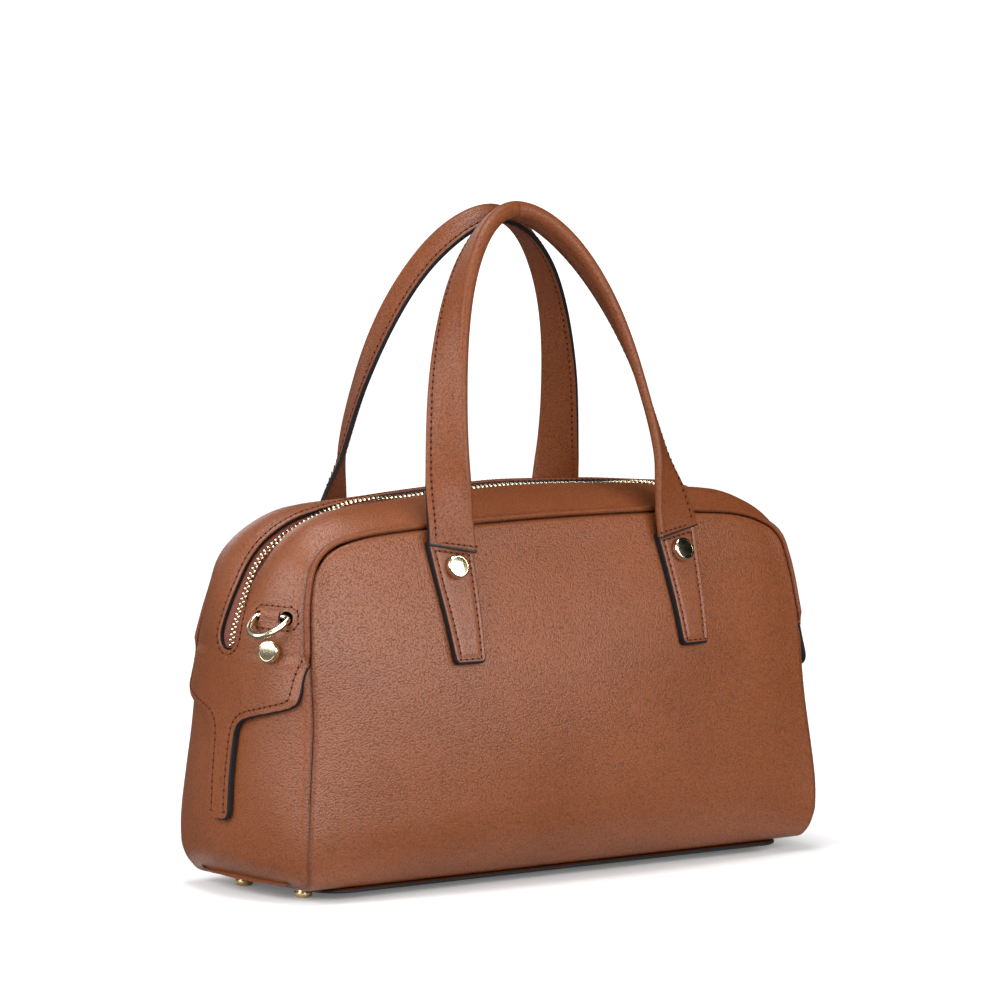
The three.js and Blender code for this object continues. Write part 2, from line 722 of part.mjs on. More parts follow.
function withRingWindows(geometry) {
  let solid = toSolid(geometry);
  const place = placeOnEnd(RING.row, RING.y, -RING.depth);
  place.updateMatrix();
  for (const [, turn] of ENDS) {
    const window = new THREE.BoxGeometry(WINDOW.depth, 2 * WINDOW.halfLength, 2 * WINDOW.halfHeight);
    window.applyMatrix4(place.matrix).rotateZ(turn);
    solid = solid.subtract(toSolid(window));
  }
  return fromSolid(solid);
}

// Assembly
const panel = frontPanel();
const pipe = frontPiping();
const handle = frontHandle();
const side = rightSide();
const tab = frontRightTab();
for (const [face, signY] of FACES) {
  addPiece(`${face}_panel`, mirrored(panel, 1, signY), 'leather');
  addPiece(`piping_${face}`, mirrored(pipe, 1, signY), 'leather');
  addPiece(`handle_${face}`, mirrored(handle, 1, signY), 'leather');
}
addPiece('top_gusset', withRingWindows(topGusset()), 'leather');
addPiece('zip_tape', zipStrip(TAPE_HALF_WIDTH, GUSSET_WALL + FLAP_GAP, TAPE_WALL), 'tape');
addPiece('zip_chain', zipStrip(CHAIN_HALF_WIDTH, CHAIN_SUNK, CHAIN_HEIGHT), 'gold');

const sliderFrame = bandFrame(SLIDER_ROW, 0);
const slider = addPiece('zip_slider', zipSlider(), 'gold');
slider.position.copy(sliderFrame.point).addScaledVector(sliderFrame.normal, SLIDER.lift - CHAIN_SUNK);
slider.quaternion.setFromRotationMatrix(
  new THREE.Matrix4().makeBasis(sliderFrame.across, sliderFrame.up, sliderFrame.normal),
);

const plate = roundedPlate(2 * BASE.halfLength, 2 * BASE.halfWidth, BASE.corner, BASE.thick);
addPiece('base_plate', plate, 'edge').position.z = BASE.bottom;

for (const [end, turn] of ENDS) {
  const signX = turn === 0 ? 1 : -1;
  addPiece(`${end}_side`, mirrored(side, signX, 1), 'leather');

  const hardware = new THREE.Group();
  hardware.rotation.z = turn;
  group.add(hardware);
  const ringPlace = placeOnEnd(RING.row, RING.y, -RING.depth);
  const studPlace = placeOnEnd(SIDE_STUD.row, SIDE_STUD.y, SIDE_STUD.lift);
  hardware.add(ringPlace, studPlace);
  const ring = addPiece(`d_ring_${end}`, dRing(), 'gold');
  ring.rotation.y = -THREE.MathUtils.degToRad(RING.lean);
  ringPlace.add(ring, addPiece(`ring_keeper_${end}`, ringKeeper(), 'leather'));
  const button = addPiece(`side_stud_${end}`, stud(SIDE_STUD), 'gold');
  button.rotation.y = Math.PI / 2;
  studPlace.add(button);

  for (const [face, signY] of FACES) {
    addPiece(`handle_tab_${face}_${end}`, mirrored(tab, signX, signY), 'leather');

    const { point, normal } = panelAt(STUD_PLACE.x, STUD_PLACE.z);
    const flip = new THREE.Vector3(signX, signY, 1);
    const cap = addPiece(`handle_stud_${face}_${end}`, stud(HANDLE_STUD), 'gold');
    cap.position.copy(point).addScaledVector(normal, 2 * GAP + TAB_WALL).multiply(flip);
    cap.quaternion.setFromUnitVectors(new THREE.Vector3(0, 0, 1), normal.multiply(flip));

    const foot = addPiece(`foot_${face}_${end}`, turned(FOOT_PROFILE), 'gold');
    foot.position.set(signX * FOOT.x, -signY * FOOT.y, 0);
  }
}

export default group;
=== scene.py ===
import math

import bmesh
import bpy
from mathutils import Matrix, Vector, noise
from mathutils.bvhtree import BVHTree
from mathutils.kdtree import KDTree


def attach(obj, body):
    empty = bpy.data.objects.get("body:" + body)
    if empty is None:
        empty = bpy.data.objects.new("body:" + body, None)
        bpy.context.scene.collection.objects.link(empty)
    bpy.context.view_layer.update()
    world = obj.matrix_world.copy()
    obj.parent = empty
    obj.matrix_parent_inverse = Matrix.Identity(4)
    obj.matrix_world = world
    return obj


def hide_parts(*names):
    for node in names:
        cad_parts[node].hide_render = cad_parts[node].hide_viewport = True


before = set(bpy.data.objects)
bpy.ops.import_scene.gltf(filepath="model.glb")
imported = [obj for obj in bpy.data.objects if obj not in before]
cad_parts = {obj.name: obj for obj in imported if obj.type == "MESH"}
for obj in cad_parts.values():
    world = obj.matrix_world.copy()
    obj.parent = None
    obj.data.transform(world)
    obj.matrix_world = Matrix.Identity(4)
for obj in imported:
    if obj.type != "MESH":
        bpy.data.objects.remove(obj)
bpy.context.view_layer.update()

# A leather bowling bag. Shapes are worked out in millimetres, as in the part's source, and
# every piece is brought to metres when it is made. X runs along the bag and the front faces -Y.
MM = 0.001
FACES = (("front", 1), ("back", -1))
ENDS = (("right", 1), ("left", -1))

# The crease round the front panel: x, depth from the middle, height
LOWER_SEAM = [
    (146.0, 0.3, 7.4), (146.0, 20.0, 7.0), (146.0, 36.0, 5.8), (146.3, 44.8, 6.8), (146.6, 48.9, 11.0),
    (146.7, 50.6, 17.0), (146.2, 51.5, 30.0), (144.8, 50.0, 50.0), (143.8, 48.5, 70.0), (143.4, 47.1, 90.0),
]
# Seam x, depth and height, crown x and height, swell between the seam and the zip
UPPER_SEAM = [
    (143.3, 45.2, 112.0, 157.2, 112.0, 0.0), (142.5, 44.0, 120.0, 155.8, 120.5, 0.4),
    (141.5, 42.4, 130.0, 152.2, 130.5, 1.0), (139.6, 40.9, 140.0, 147.0, 140.5, 2.4),
    (136.4, 39.6, 149.5, 140.7, 149.5, 3.8), (131.0, 37.8, 156.0, 132.6, 157.0, 5.0),
    (123.0, 37.0, 160.8, 122.6, 163.2, 5.2), (115.0, 37.8, 163.2, 113.6, 167.4, 4.8),
    (106.0, 38.6, 164.8, 104.9, 170.5, 3.7), (90.0, 39.6, 166.1, 90.0, 174.8, 2.1),
    (70.0, 40.2, 166.9, 70.0, 177.7, 1.0), (45.0, 40.7, 167.5, 45.0, 179.5, 0.5),
    (20.0, 41.0, 167.9, 20.0, 180.5, 0.3), (0.0, 41.0, 168.0, 0.0, 181.0, 0.3),
]
# Rows count along the seam, from the middle of the bottom over the top to the other end
FLAP_ROW = len(LOWER_SEAM)
CORNER_ROW = FLAP_ROW + 5
TOP_ROW = FLAP_ROW + len(UPPER_SEAM) - 1
LAST_ROW = 2 * TOP_ROW
CROWN_POWER = 2.4
BAND_START = 10.05


def smooth_table(rows, column=1):
    """A smooth curve through a table of place and value."""
    def slope(i):
        a, b = rows[max(i - 1, 0)], rows[min(i + 1, len(rows) - 1)]
        return (b[column] - a[column]) / (b[0] - a[0])

    def at(place):
        i = len(rows) - 2
        while i > 0 and place < rows[i][0]:
            i -= 1
        span = rows[i + 1][0] - rows[i][0]
        s = min(max((place - rows[i][0]) / span, 0.0), 1.0)
        start = rows[i][column] * (1 + 2 * s) * (1 - s) ** 2 + slope(i) * span * s * (1 - s) ** 2
        return start + rows[i + 1][column] * s * s * (3 - 2 * s) + slope(i + 1) * span * s * s * (s - 1)
    return at


def line_through(points):
    """A smooth line through points: place 2.5 lies half-way between the third and the fourth."""
    points = [Vector(p) for p in points]
    last = len(points) - 1

    def at(place):
        i = min(max(int(math.floor(place)), 0), last - 1)
        w = place - i
        p1, p2 = points[i], points[i + 1]
        p0 = points[i - 1] if i > 0 else 2 * p1 - p2
        p3 = points[i + 2] if i + 2 <= last else 2 * p2 - p1
        d1 = math.sqrt((p2 - p1).length) or 1.0
        d0 = math.sqrt((p1 - p0).length) or d1
        d2 = math.sqrt((p3 - p2).length) or d1
        t1 = ((p1 - p0) / d0 - (p2 - p0) / (d0 + d1) + (p2 - p1) / d1) * d1
        t2 = ((p2 - p1) / d1 - (p3 - p1) / (d1 + d2) + (p3 - p2) / d2) * d1
        return p1 + t1 * w + (3 * (p2 - p1) - 2 * t1 - t2) * w * w + (2 * (p1 - p2) + t1 + t2) * w ** 3
    return at


def steps(low, high, count):
    return [low + (high - low) * i / count for i in range(count + 1)]


def step_chain(*runs):
    """Steps through several runs of (low, high, count), each of which starts where the last one ends."""
    return [place for run in runs for place in steps(*run)[:-1]] + [runs[-1][1]]


def share_of(value, low, high):
    return min(max((value - low) / (high - low), 0.0), 1.0)


def rise(value, low, high):
    """A smooth rise from 0 at low to 1 at high, or a fall where high is the lesser one."""
    share = share_of(value, low, high)
    return share * share * (3 - 2 * share)


def mirror_x(p):
    return Vector((-p.x, p.y, p.z))


def mirror_y(p):
    return Vector((p.x, -p.y, p.z))


def there_and_back(half):
    return half + [mirror_x(p) for p in reversed(half[:-1])]


def frame_matrix(spot, x_axis, y_axis, z_axis):
    return Matrix.Translation(spot) @ Matrix((x_axis, y_axis, z_axis)).transposed().to_4x4()


seam_half = [Vector((row[0], -row[1], row[2])) for row in LOWER_SEAM + UPPER_SEAM]
seam_line = line_through(there_and_back(seam_half))
crown_line = line_through(there_and_back([Vector((row[3], 0.0, row[4])) for row in UPPER_SEAM]))
band_swell = smooth_table([(FLAP_ROW + i, row[5]) for i, row in enumerate(UPPER_SEAM)])
SEAM_STEP = 0.005
seam_frames = {}


def seam_frame(row):
    """A place on the crease, with the directions out of the panel's edge and into the bag."""
    key = round(row, 5)
    if key not in seam_frames:
        ahead, behind = min(row + SEAM_STEP, float(LAST_ROW)), max(row - SEAM_STEP, 0.0)
        along = (seam_line(ahead) - seam_line(behind)).normalized()
        if abs(row - TOP_ROW) > TOP_ROW - FLAP_ROW:
            out = Vector((1.0 if row < TOP_ROW else -1.0, 0.0, 0.0))
        else:
            out = Vector((along.z, 0.0, -along.x)).normalized()
        seam_frames[key] = (seam_line(row), out, along.cross(out).normalized())
    return seam_frames[key]


def beside_seam(row, out, into):
    point, outward, inward = seam_frame(row)
    return point + out * outward + into * inward


# Materials

def put_in(tree, socket, value):
    """Links an output to a socket, or sets the socket to a plain value."""
    if isinstance(value, bpy.types.NodeSocket):
        tree.links.new(value, socket)
    else:
        socket.default_value = value


def add_node(tree, kind, inputs=None, **settings):
    node = tree.nodes.new(kind)
    for name, value in settings.items():
        setattr(node, name, value)
    for name, value in (inputs or {}).items():
        put_in(tree, node.inputs[name], value)
    return node


def math_node(tree, operation, first, second=0.0):
    return add_node(tree, "ShaderNodeMath", {0: first, 1: second}, operation=operation).outputs[0]


def vector_node(tree, operation, first, second):
    return add_node(tree, "ShaderNodeVectorMath", {0: first, 1: second}, operation=operation).outputs[0]


def mix_colour(tree, share, first, second, blend="MIX"):
    # Sockets 6, 7 and 2 are the two colours and the mixed one
    inputs = {"Factor": share, 6: first, 7: second}
    return add_node(tree, "ShaderNodeMix", inputs, data_type="RGBA", blend_type=blend).outputs[2]


def remap(tree, value, low, high, to_low=0.0, to_high=1.0):
    return add_node(tree, "ShaderNodeMapRange", {
        "Value": value, "From Min": low, "From Max": high, "To Min": to_low, "To Max": to_high,
    }).outputs[0]


def object_place(tree):
    return add_node(tree, "ShaderNodeTexCoord").outputs["Object"]


def noise_node(tree, place, scale, detail):
    return add_node(tree, "ShaderNodeTexNoise", {"Vector": place, "Scale": scale, "Detail": detail})


def attribute(tree, name):
    return add_node(tree, "ShaderNodeAttribute", attribute_name=name).outputs["Fac"]


def new_group(name, given, value, outputs):
    """A node group with one number given to it and several numbers made."""
    group = bpy.data.node_groups.new(name, "ShaderNodeTree")
    kind = "NodeSocketFloat"
    group.interface.new_socket(given, in_out="INPUT", socket_type=kind).default_value = value
    for socket in outputs:
        group.interface.new_socket(socket, in_out="OUTPUT", socket_type=kind)
    return group, group.nodes.new("NodeGroupInput").outputs[0], group.nodes.new("NodeGroupOutput")


def make_grain_group():
    """Pebbled leather: cells with fine valleys, and a cloudy change of tone."""
    group, cells_per_metre, made = new_group(
        "leather_grain", "Cells per metre", 560.0, ["Height", "Valley", "Cloud", "Fine", "Pebble"])
    place = object_place(group)
    wander = noise_node(group, place, 290.0, 3.0).outputs["Color"]
    pushed = vector_node(group, "MULTIPLY", wander, (0.0009, 0.0009, 0.0009))
    moved = vector_node(group, "ADD", place, pushed)
    inputs = {"Vector": moved, "Scale": cells_per_metre}
    cells = add_node(group, "ShaderNodeTexVoronoi", inputs, feature="F1")
    from_middle = cells.outputs["Distance"]
    chance = add_node(group, "ShaderNodeSeparateColor", {0: cells.outputs["Color"]}).outputs[0]
    fine = noise_node(group, place, 950.0, 2.0).outputs["Fac"]
    cloud = noise_node(group, place, 17.0, 3.0).outputs["Fac"]
    dome = math_node(group, "MULTIPLY", math_node(group, "MULTIPLY", from_middle, from_middle), -1.6)
    grit = math_node(group, "MULTIPLY", fine, 0.15)
    for name, value in (
        ("Height", math_node(group, "ADD", dome, grit)), ("Valley", remap(group, from_middle, 0.4, 0.75)),
        ("Cloud", remap(group, cloud, 0.3, 0.7)), ("Fine", fine), ("Pebble", chance),
    ):
        put_in(group, made.inputs[name], value)
    return group


def make_polish_group():
    """Polished metal: faint smears and hairline scratches."""
    group, scratches, made = new_group("metal_polish", "Scratches per metre", 900.0, ["Height", "Smear"])
    place = object_place(group)
    drawn = add_node(group, "ShaderNodeMapping", {"Vector": place, "Scale": (1.0, 0.12, 0.5)}).outputs[0]
    put_in(group, made.inputs["Height"], noise_node(group, drawn, scratches, 4.0).outputs["Fac"])
    smear = noise_node(group, place, 220.0, 2.0).outputs["Fac"]
    put_in(group, made.inputs["Smear"], remap(group, smear, 0.3, 0.7))
    return group


grain_group = make_grain_group()
polish_group = make_polish_group()


def new_material(name, rough, metal=0.0, level=0.5):
    material = bpy.data.materials.new(name)
    material.use_nodes = True
    tree = material.node_tree
    shader = tree.nodes["Principled BSDF"]
    for socket, value in (("Roughness", rough), ("Metallic", metal), ("Specular IOR Level", level)):
        shader.inputs[socket].default_value = value
    return material, tree, shader


def finish_surface(tree, shader, tone, rough, bump=None):
    """Links a surface's colour, roughness and bump, which is (strength, depth in mm, height)."""
    put_in(tree, shader.inputs["Base Color"], tone)
    put_in(tree, shader.inputs["Roughness"], rough)
    if bump:
        strength, depth, height = bump
        inputs = {"Strength": strength, "Distance": depth * MM, "Height": height}
        put_in(tree, shader.inputs["Normal"], add_node(tree, "ShaderNodeBump", inputs).outputs[0])


def grain_node(tree, cells):
    grain = add_node(tree, "ShaderNodeGroup", {}, node_tree=grain_group)
    grain.inputs["Cells per metre"].default_value = cells
    return grain.outputs


def darker(colour, red, green, blue):
    return colour[0] * red, colour[1] * green, colour[2] * blue, 1.0


def make_leather(name, dark, light, cells, depth, rough, level):
    material, tree, shader = new_material(name, rough, level=level)
    grain = grain_node(tree, cells)
    tone = mix_colour(tree, grain["Cloud"], dark, light)
    shade = remap(tree, grain["Pebble"], 0.0, 1.0, 0.9, 1.1)
    pebble = add_node(tree, "ShaderNodeCombineColor", {0: shade, 1: shade, 2: shade}).outputs[0]
    tone = mix_colour(tree, 1.0, tone, pebble, "MULTIPLY")
    valley = math_node(tree, "MULTIPLY", grain["Valley"], 0.5)
    tone = mix_colour(tree, valley, tone, darker(dark, 0.45, 0.4, 0.4))
    # Painted shade: the leather is darkened along seams and creases, where shade falls into the groove
    painted_crease_shade = math_node(tree, "MULTIPLY", attribute(tree, "crease"), 0.72)
    tone = mix_colour(tree, painted_crease_shade, tone, darker(dark, 0.3, 0.2, 0.18))
    rougher = math_node(tree, "MULTIPLY", grain["Valley"], 0.1)
    cloudy = math_node(tree, "MULTIPLY", grain["Cloud"], 0.07)
    rough_total = math_node(tree, "ADD", math_node(tree, "ADD", rougher, cloudy), rough)
    finish_surface(tree, shader, tone, rough_total, (1.0, depth, grain["Height"]))
    return material


def make_painted_edge():
    material, tree, shader = new_material("black_edge_paint", 0.38, level=0.16)
    grain = grain_node(tree, 900.0)
    tone = mix_colour(tree, grain["Cloud"], (0.006, 0.006, 0.007, 1.0), (0.013, 0.012, 0.013, 1.0))
    rough = remap(tree, grain["Fine"], 0.3, 0.7, 0.32, 0.46)
    finish_surface(tree, shader, tone, rough, (0.5, 0.05, grain["Height"]))
    return material


def make_thread(name, dark, light):
    material, tree, shader = new_material(name, 0.6, level=0.15)
    ply = noise_node(tree, object_place(tree), 2600.0, 2.0).outputs["Fac"]
    finish_surface(tree, shader, mix_colour(tree, ply, dark, light), remap(tree, ply, 0.3, 0.7, 0.45, 0.7))
    return material


def make_tape():
    """Woven tape: fine ribs along the zip, crossed by a finer weft."""
    material, tree, shader = new_material("zip_tape_weave", 0.85)
    warp, weft = (
        math_node(tree, "SINE", math_node(tree, "MULTIPLY", attribute(tree, name), 2 * math.pi / pitch))
        for name, pitch in (("across", 0.75), ("along", 0.6))
    )
    weave = remap(tree, math_node(tree, "MULTIPLY", warp, weft), -1.0, 1.0)
    tone = mix_colour(tree, weave, (0.075, 0.016, 0.009, 1.0), (0.205, 0.054, 0.030, 1.0))
    finish_surface(tree, shader, tone, remap(tree, weave, 0.0, 1.0, 0.95, 0.75), (0.8, 0.12, weave))
    return material


def make_gold(name, pale, deep, rough):
    material, tree, shader = new_material(name, rough, metal=1.0)
    polish = add_node(tree, "ShaderNodeGroup", {}, node_tree=polish_group).outputs
    tone = mix_colour(tree, polish["Smear"], pale, deep)
    smeared = remap(tree, polish["Smear"], 0.0, 1.0, rough, rough + 0.07)
    finish_surface(tree, shader, tone, smeared, (0.12, 0.02, polish["Height"]))
    return material


LEATHER = ((0.144, 0.0394, 0.0112, 1.0), (0.176, 0.0495, 0.0147, 1.0))
STRAP_TONES = ((0.128, 0.0348, 0.0104, 1.0), (0.157, 0.0440, 0.0136, 1.0))
panel_leather = make_leather("panel_leather", *LEATHER, 1150.0, 0.12, 0.31, 0.38)
gusset_leather = make_leather("gusset_leather", *LEATHER, 1200.0, 0.1, 0.31, 0.36)
tab_leather = make_leather("tab_leather", *LEATHER, 1250.0, 0.08, 0.31, 0.42)
strap_leather = make_leather("strap_leather", *STRAP_TONES, 1250.0, 0.08, 0.33, 0.22)
black_edge = make_painted_edge()
thread = make_thread("waxed_thread", (0.10, 0.020, 0.008, 1.0), (0.165, 0.038, 0.015, 1.0))
# Near-black blobs stand in for the needle holes: painted shade for each hole's depth
needle_hole_shade = make_thread("needle_hole_shade", (0.006, 0.002, 0.001, 1.0), (0.014, 0.005, 0.003, 1.0))
tape_weave = make_tape()
pale_gold = make_gold("pale_gold", (0.90, 0.80, 0.60, 1.0), (0.82, 0.70, 0.48, 1.0), 0.10)
warm_gold = make_gold("warm_gold", (0.88, 0.66, 0.36, 1.0), (0.76, 0.54, 0.27, 1.0), 0.22)


# Making pieces

def grid_sheet(columns, rows, place, paint=None, keep=None, merge=0.004):
    """A grid of faces, each point put at place(u, v), with u and v from 0 to 1."""
    bm = bmesh.new()
    bmesh.ops.create_grid(bm, x_segments=columns, y_segments=rows, size=0.5)
    for face in bm.faces:
        centre = face.calc_center_median()
        u, v = centre.x + 0.5, centre.y + 0.5
        if paint:
            face.material_index = paint(u, v)
        face.tag = bool(keep) and not keep(u, v)
    if keep:
        bmesh.ops.delete(bm, geom=[f for f in bm.faces if f.tag], context="FACES")
    for v in bm.verts:
        v.co = place(v.co.x + 0.5, v.co.y + 0.5)
    if merge:
        bmesh.ops.remove_doubles(bm, verts=bm.verts[:], dist=merge)
    bm.normal_update()
    return bm


def move_by(bm, matrix):
    bmesh.ops.transform(bm, matrix=matrix, verts=bm.verts[:])


def face_outward(bm):
    bmesh.ops.recalc_face_normals(bm, faces=bm.faces[:])


def bevel(bm, edges, offset, segments):
    bmesh.ops.bevel(bm, geom=edges, offset=offset, segments=segments, profile=0.5, affect="EDGES",
                    material=-1)


def make_block(size):
    bm = bmesh.new()
    bmesh.ops.create_cube(bm, size=1.0)
    bmesh.ops.scale(bm, vec=size, verts=bm.verts[:])
    return bm


def mesh_from(name, bm):
    """A mesh of a finished form, which is used up."""
    mesh = bpy.data.meshes.new(name)
    bm.to_mesh(mesh)
    bm.free()
    return mesh


def new_object(name, data):
    made = bpy.data.objects.new(name, data)
    bpy.context.scene.collection.objects.link(made)
    return made


def point_tree(points):
    tree = KDTree(len(points))
    for i, p in enumerate(points):
        tree.insert(p, i)
    tree.balance()
    return tree


def rim_edges(bm):
    return [e for e in bm.edges if e.is_boundary]


def along_edges(edges, spacing):
    """Points spaced along edges."""
    points = []
    for edge in edges:
        a, b = edge.verts[0].co, edge.verts[1].co
        count = max(1, int((b - a).length / spacing))
        points += [a.lerp(b, i / count) for i in range(count)]
    return points


def facing_hit(hits, start, way):
    """Where a ray meets a surface, with its direction towards the start of the ray, or nothing."""
    spot, normal, _, _ = hits.ray_cast(start, way)
    if spot is None:
        return None
    return spot, (normal if normal.dot(way) < 0 else -normal)


def all_hits(hits, starts, way):
    return [hit for hit in (facing_hit(hits, start, way) for start in starts) if hit]


def round_towards(bm, edge_points, radius, share=1.0):
    """Rolls the surface in where it comes within the radius of an edge."""
    tree = point_tree(edge_points)
    bm.normal_update()
    moves = []
    for v in bm.verts:
        gap = tree.find(v.co)[2]
        if gap < radius:
            drop = radius - math.sqrt(max(radius ** 2 - (radius - gap) ** 2, 0.0))
            moves.append((v, v.normal * (-drop * share)))
    for v, move in moves:
        v.co += move
    bm.normal_update()


def paint_shade_near(bm, edge_points, reach, strength):
    """Paints shade into the leather near a crease, a seam or an overhang, where shade falls. It adds a
    layer, so it comes before plan_wall.
    """
    layer = bm.verts.layers.float.new("crease")
    tree = point_tree(edge_points)
    for v in bm.verts:
        gap = tree.find(v.co)[2]
        v[layer] = strength * math.exp(-((gap / reach) ** 2))


def plan_wall(bm, wall):
    """Where the inside of each point will lie, worked out before the edges are rolled in."""
    bm.normal_update()
    return [(v, v.co - v.normal * wall) for v in bm.verts]


def add_wall(bm, inner, rim_paint=None):
    """Gives a sheet its planned inside, and paints the rim where rim_paint says."""
    made = bmesh.ops.extrude_face_region(bm, geom=bm.faces[:], use_keep_orig=True)
    outer = {v for v in made["geom"] if isinstance(v, bmesh.types.BMVert)}
    for v, spot in inner:
        v.co = spot
    face_outward(bm)
    if rim_paint:
        for face in bm.faces:
            count = sum(v in outer for v in face.verts)
            if 0 < count < len(face.verts):
                face.material_index = rim_paint(face.calc_center_median())


def all_black(centre):
    return 1


def mirrored(bm, sign_x, sign_y):
    copy = bm.copy()
    for v in copy.verts:
        v.co.x *= sign_x
        v.co.y *= sign_y
    if sign_x * sign_y < 0:
        bmesh.ops.reverse_faces(copy, faces=copy.faces[:])
    return copy


HALF_TURN = Matrix.Rotation(math.pi, 4, "Z")


def at_end(bm, sign):
    """A copy at the right end, or one turned half a turn about the middle of the bag to the left end."""
    copy = bm.copy()
    if sign < 0:
        move_by(copy, HALF_TURN)
    return copy


# How the soft bag has settled, in millimetres. Each range says where it starts and where it is full.
DRAW_IN = 5.0
DRAW_IN_X, DRAW_IN_Y, DRAW_IN_Z = (85.0, 125.0), (32.0, 44.0), (112.0, 152.0)
SHOULDER_DROP = 1.5
SHOULDER_INNER, SHOULDER_OUTER = (62.0, 90.0), (146.0, 122.0)
SHOULDER_ZIP, SHOULDER_SEAM, SHOULDER_Z = (4.0, -8.0), (-44.0, -36.0), (150.0, 162.0)
FILL_OUT = 2.6
FILL_OUT_X, FILL_OUT_LOW, FILL_OUT_HIGH = (112.0, 142.0), (5.0, 21.0), (90.0, 38.0)


def settle(bm):
    """Gives a form the uneven sag of the bag: the same for every piece, so that they stay together."""
    for v in bm.verts:
        # The upper back edges of both ends are drawn in, where the leather curls over
        x, y, z = v.co
        share = rise(abs(x), *DRAW_IN_X) * rise(y, *DRAW_IN_Y) * rise(z, *DRAW_IN_Z)
        v.co.x -= math.copysign(DRAW_IN * share, x)
        # The front of the right shoulder has sunk a little lower than that of the left one
        x = v.co.x
        share = rise(x, *SHOULDER_INNER) * rise(x, *SHOULDER_OUTER) * rise(z, *SHOULDER_Z)
        v.co.z -= SHOULDER_DROP * share * rise(y, *SHOULDER_ZIP) * rise(y, *SHOULDER_SEAM)
        # The lower part of both ends is filled out, where the weight of the bag rests
        z = v.co.z
        share = rise(abs(x), *FILL_OUT_X) * rise(z, *FILL_OUT_LOW) * rise(z, *FILL_OUT_HIGH)
        v.co.x += math.copysign(FILL_OUT * share, x)


def make_piece(name, bm, materials, stands_for=(), body="bag", sharp=40.0):
    settle(bm)
    move_by(bm, Matrix.Scale(MM, 4))
    mesh = mesh_from(name, bm)
    for material in materials:
        mesh.materials.append(material)
    mesh.shade_smooth()
    mesh.set_sharp_from_angle(angle=math.radians(sharp))
    piece = new_object(name, mesh)
    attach(piece, body)
    if stands_for:
        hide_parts(*stands_for)
    return piece


# Camera at the photograph's view
CAMERA_AZIMUTH = math.radians(-37.24)
CAMERA_ELEVATION = math.radians(5.06)
CAMERA_ROLL = math.radians(-0.15)
CAMERA_DISTANCE = 2.973
CAMERA_LENS = 229.6
CAMERA_TARGET_SIDE = -0.0014
CAMERA_TARGET_HEIGHT = 0.1718


def make_camera():
    data = bpy.data.cameras.new("camera")
    data.lens = CAMERA_LENS
    data.sensor_width = 36.0
    camera = new_object("camera", data)
    back = Vector((
        math.sin(CAMERA_AZIMUTH) * math.cos(CAMERA_ELEVATION),
        -math.cos(CAMERA_AZIMUTH) * math.cos(CAMERA_ELEVATION),
        math.sin(CAMERA_ELEVATION),
    ))
    right = Vector((math.cos(CAMERA_AZIMUTH), math.sin(CAMERA_AZIMUTH), 0.0))
    target = CAMERA_TARGET_SIDE * right + Vector((0.0, 0.0, CAMERA_TARGET_HEIGHT))
    camera.location = target + back * CAMERA_DISTANCE
    turn = (-back).to_track_quat("-Z", "Y").to_matrix() @ Matrix.Rotation(CAMERA_ROLL, 3, "Z")
    camera.rotation_euler = turn.to_euler()
    data.clip_end = 100.0
    bpy.context.scene.camera = camera


make_camera()

# Panels
PANEL_INSET = 1.2
PANEL_BOTTOM = 5.2
PANEL_GRID = (150, 140)
PANEL_CROWDING = 1.5
PANEL_LIFT_ROW = 8.0
PANEL_SAG_ROWS = 4.0
PANEL_SAG_POWER = 8
PANEL_EDGE_ROLL = 2.2
# A slight wave in the leather: depth, length along the bag and up, and the heights that it fades at
PANEL_WAVE = 0.8
PANEL_WAVE_LENGTH = (62.0, 48.0)
PANEL_WAVE_LOW, PANEL_WAVE_HIGH = (12.0, 42.0), (166.0, 141.0)
WAVE_POWER = 6
LEATHER_WALL = 1.9
FRONT_START = -120.0
TO_BACK = Vector((0.0, 1.0, 0.0))
# Height and puff
PANEL_PUFF = [
    (5.2, 0.0), (11.0, 1.5), (17.0, 4.4), (30.0, 10.2), (50.0, 14.6), (70.0, 16.4), (90.0, 16.3),
    (104.0, 15.1), (120.0, 12.0), (135.0, 8.2), (148.0, 4.4), (158.0, 1.5), (168.0, 0.0),
]
PUFF_POWER = 2.3
panel_puff = smooth_table(PANEL_PUFF)


def panel_edge(row):
    return beside_seam(row, -PANEL_INSET, 0.0)


panel_corner = panel_edge(CORNER_ROW)
panel_top = [panel_edge(row) for row in steps(CORNER_ROW, TOP_ROW, 160)]


def top_of_panel(x):
    """The panel's upper edge over a place along the bag."""
    low, high = 0, len(panel_top) - 1
    while high - low > 1:
        middle = (low + high) // 2
        if panel_top[middle].x > x:
            low = middle
        else:
            high = middle
    a, b = panel_top[low], panel_top[high]
    return a.lerp(b, min(max((a.x - x) / max(a.x - b.x, 1e-6), 0.0), 1.0))


def panel_place(u, v):
    across = math.sin((u - 0.5) * math.pi)
    row = CORNER_ROW * (1.0 - (1.0 - v) ** PANEL_CROWDING)
    edge = panel_edge(row)
    top = top_of_panel(abs(across) * panel_corner.x)
    lift = rise(row, PANEL_LIFT_ROW, CORNER_ROW)
    sag = max(0.0, 1.0 - row / PANEL_SAG_ROWS) * (1.0 - abs(across) ** PANEL_SAG_POWER)
    z = edge.z + (PANEL_BOTTOM - edge.z) * sag + lift * (top.z - panel_corner.z)
    puff = panel_puff(z) * (1.0 - abs(across) ** PUFF_POWER)
    y = edge.y + lift * (top.y - panel_corner.y) - puff
    spot = Vector((across * edge.x, y, z))
    fade = min(share_of(z, *PANEL_WAVE_LOW), share_of(z, *PANEL_WAVE_HIGH))
    body = (1.0 - abs(across) ** WAVE_POWER) * fade
    along, up = spot.x / PANEL_WAVE_LENGTH[0], z / PANEL_WAVE_LENGTH[1]
    spot.y += PANEL_WAVE * body * noise.noise(Vector((along, 3.1, up)))
    return spot


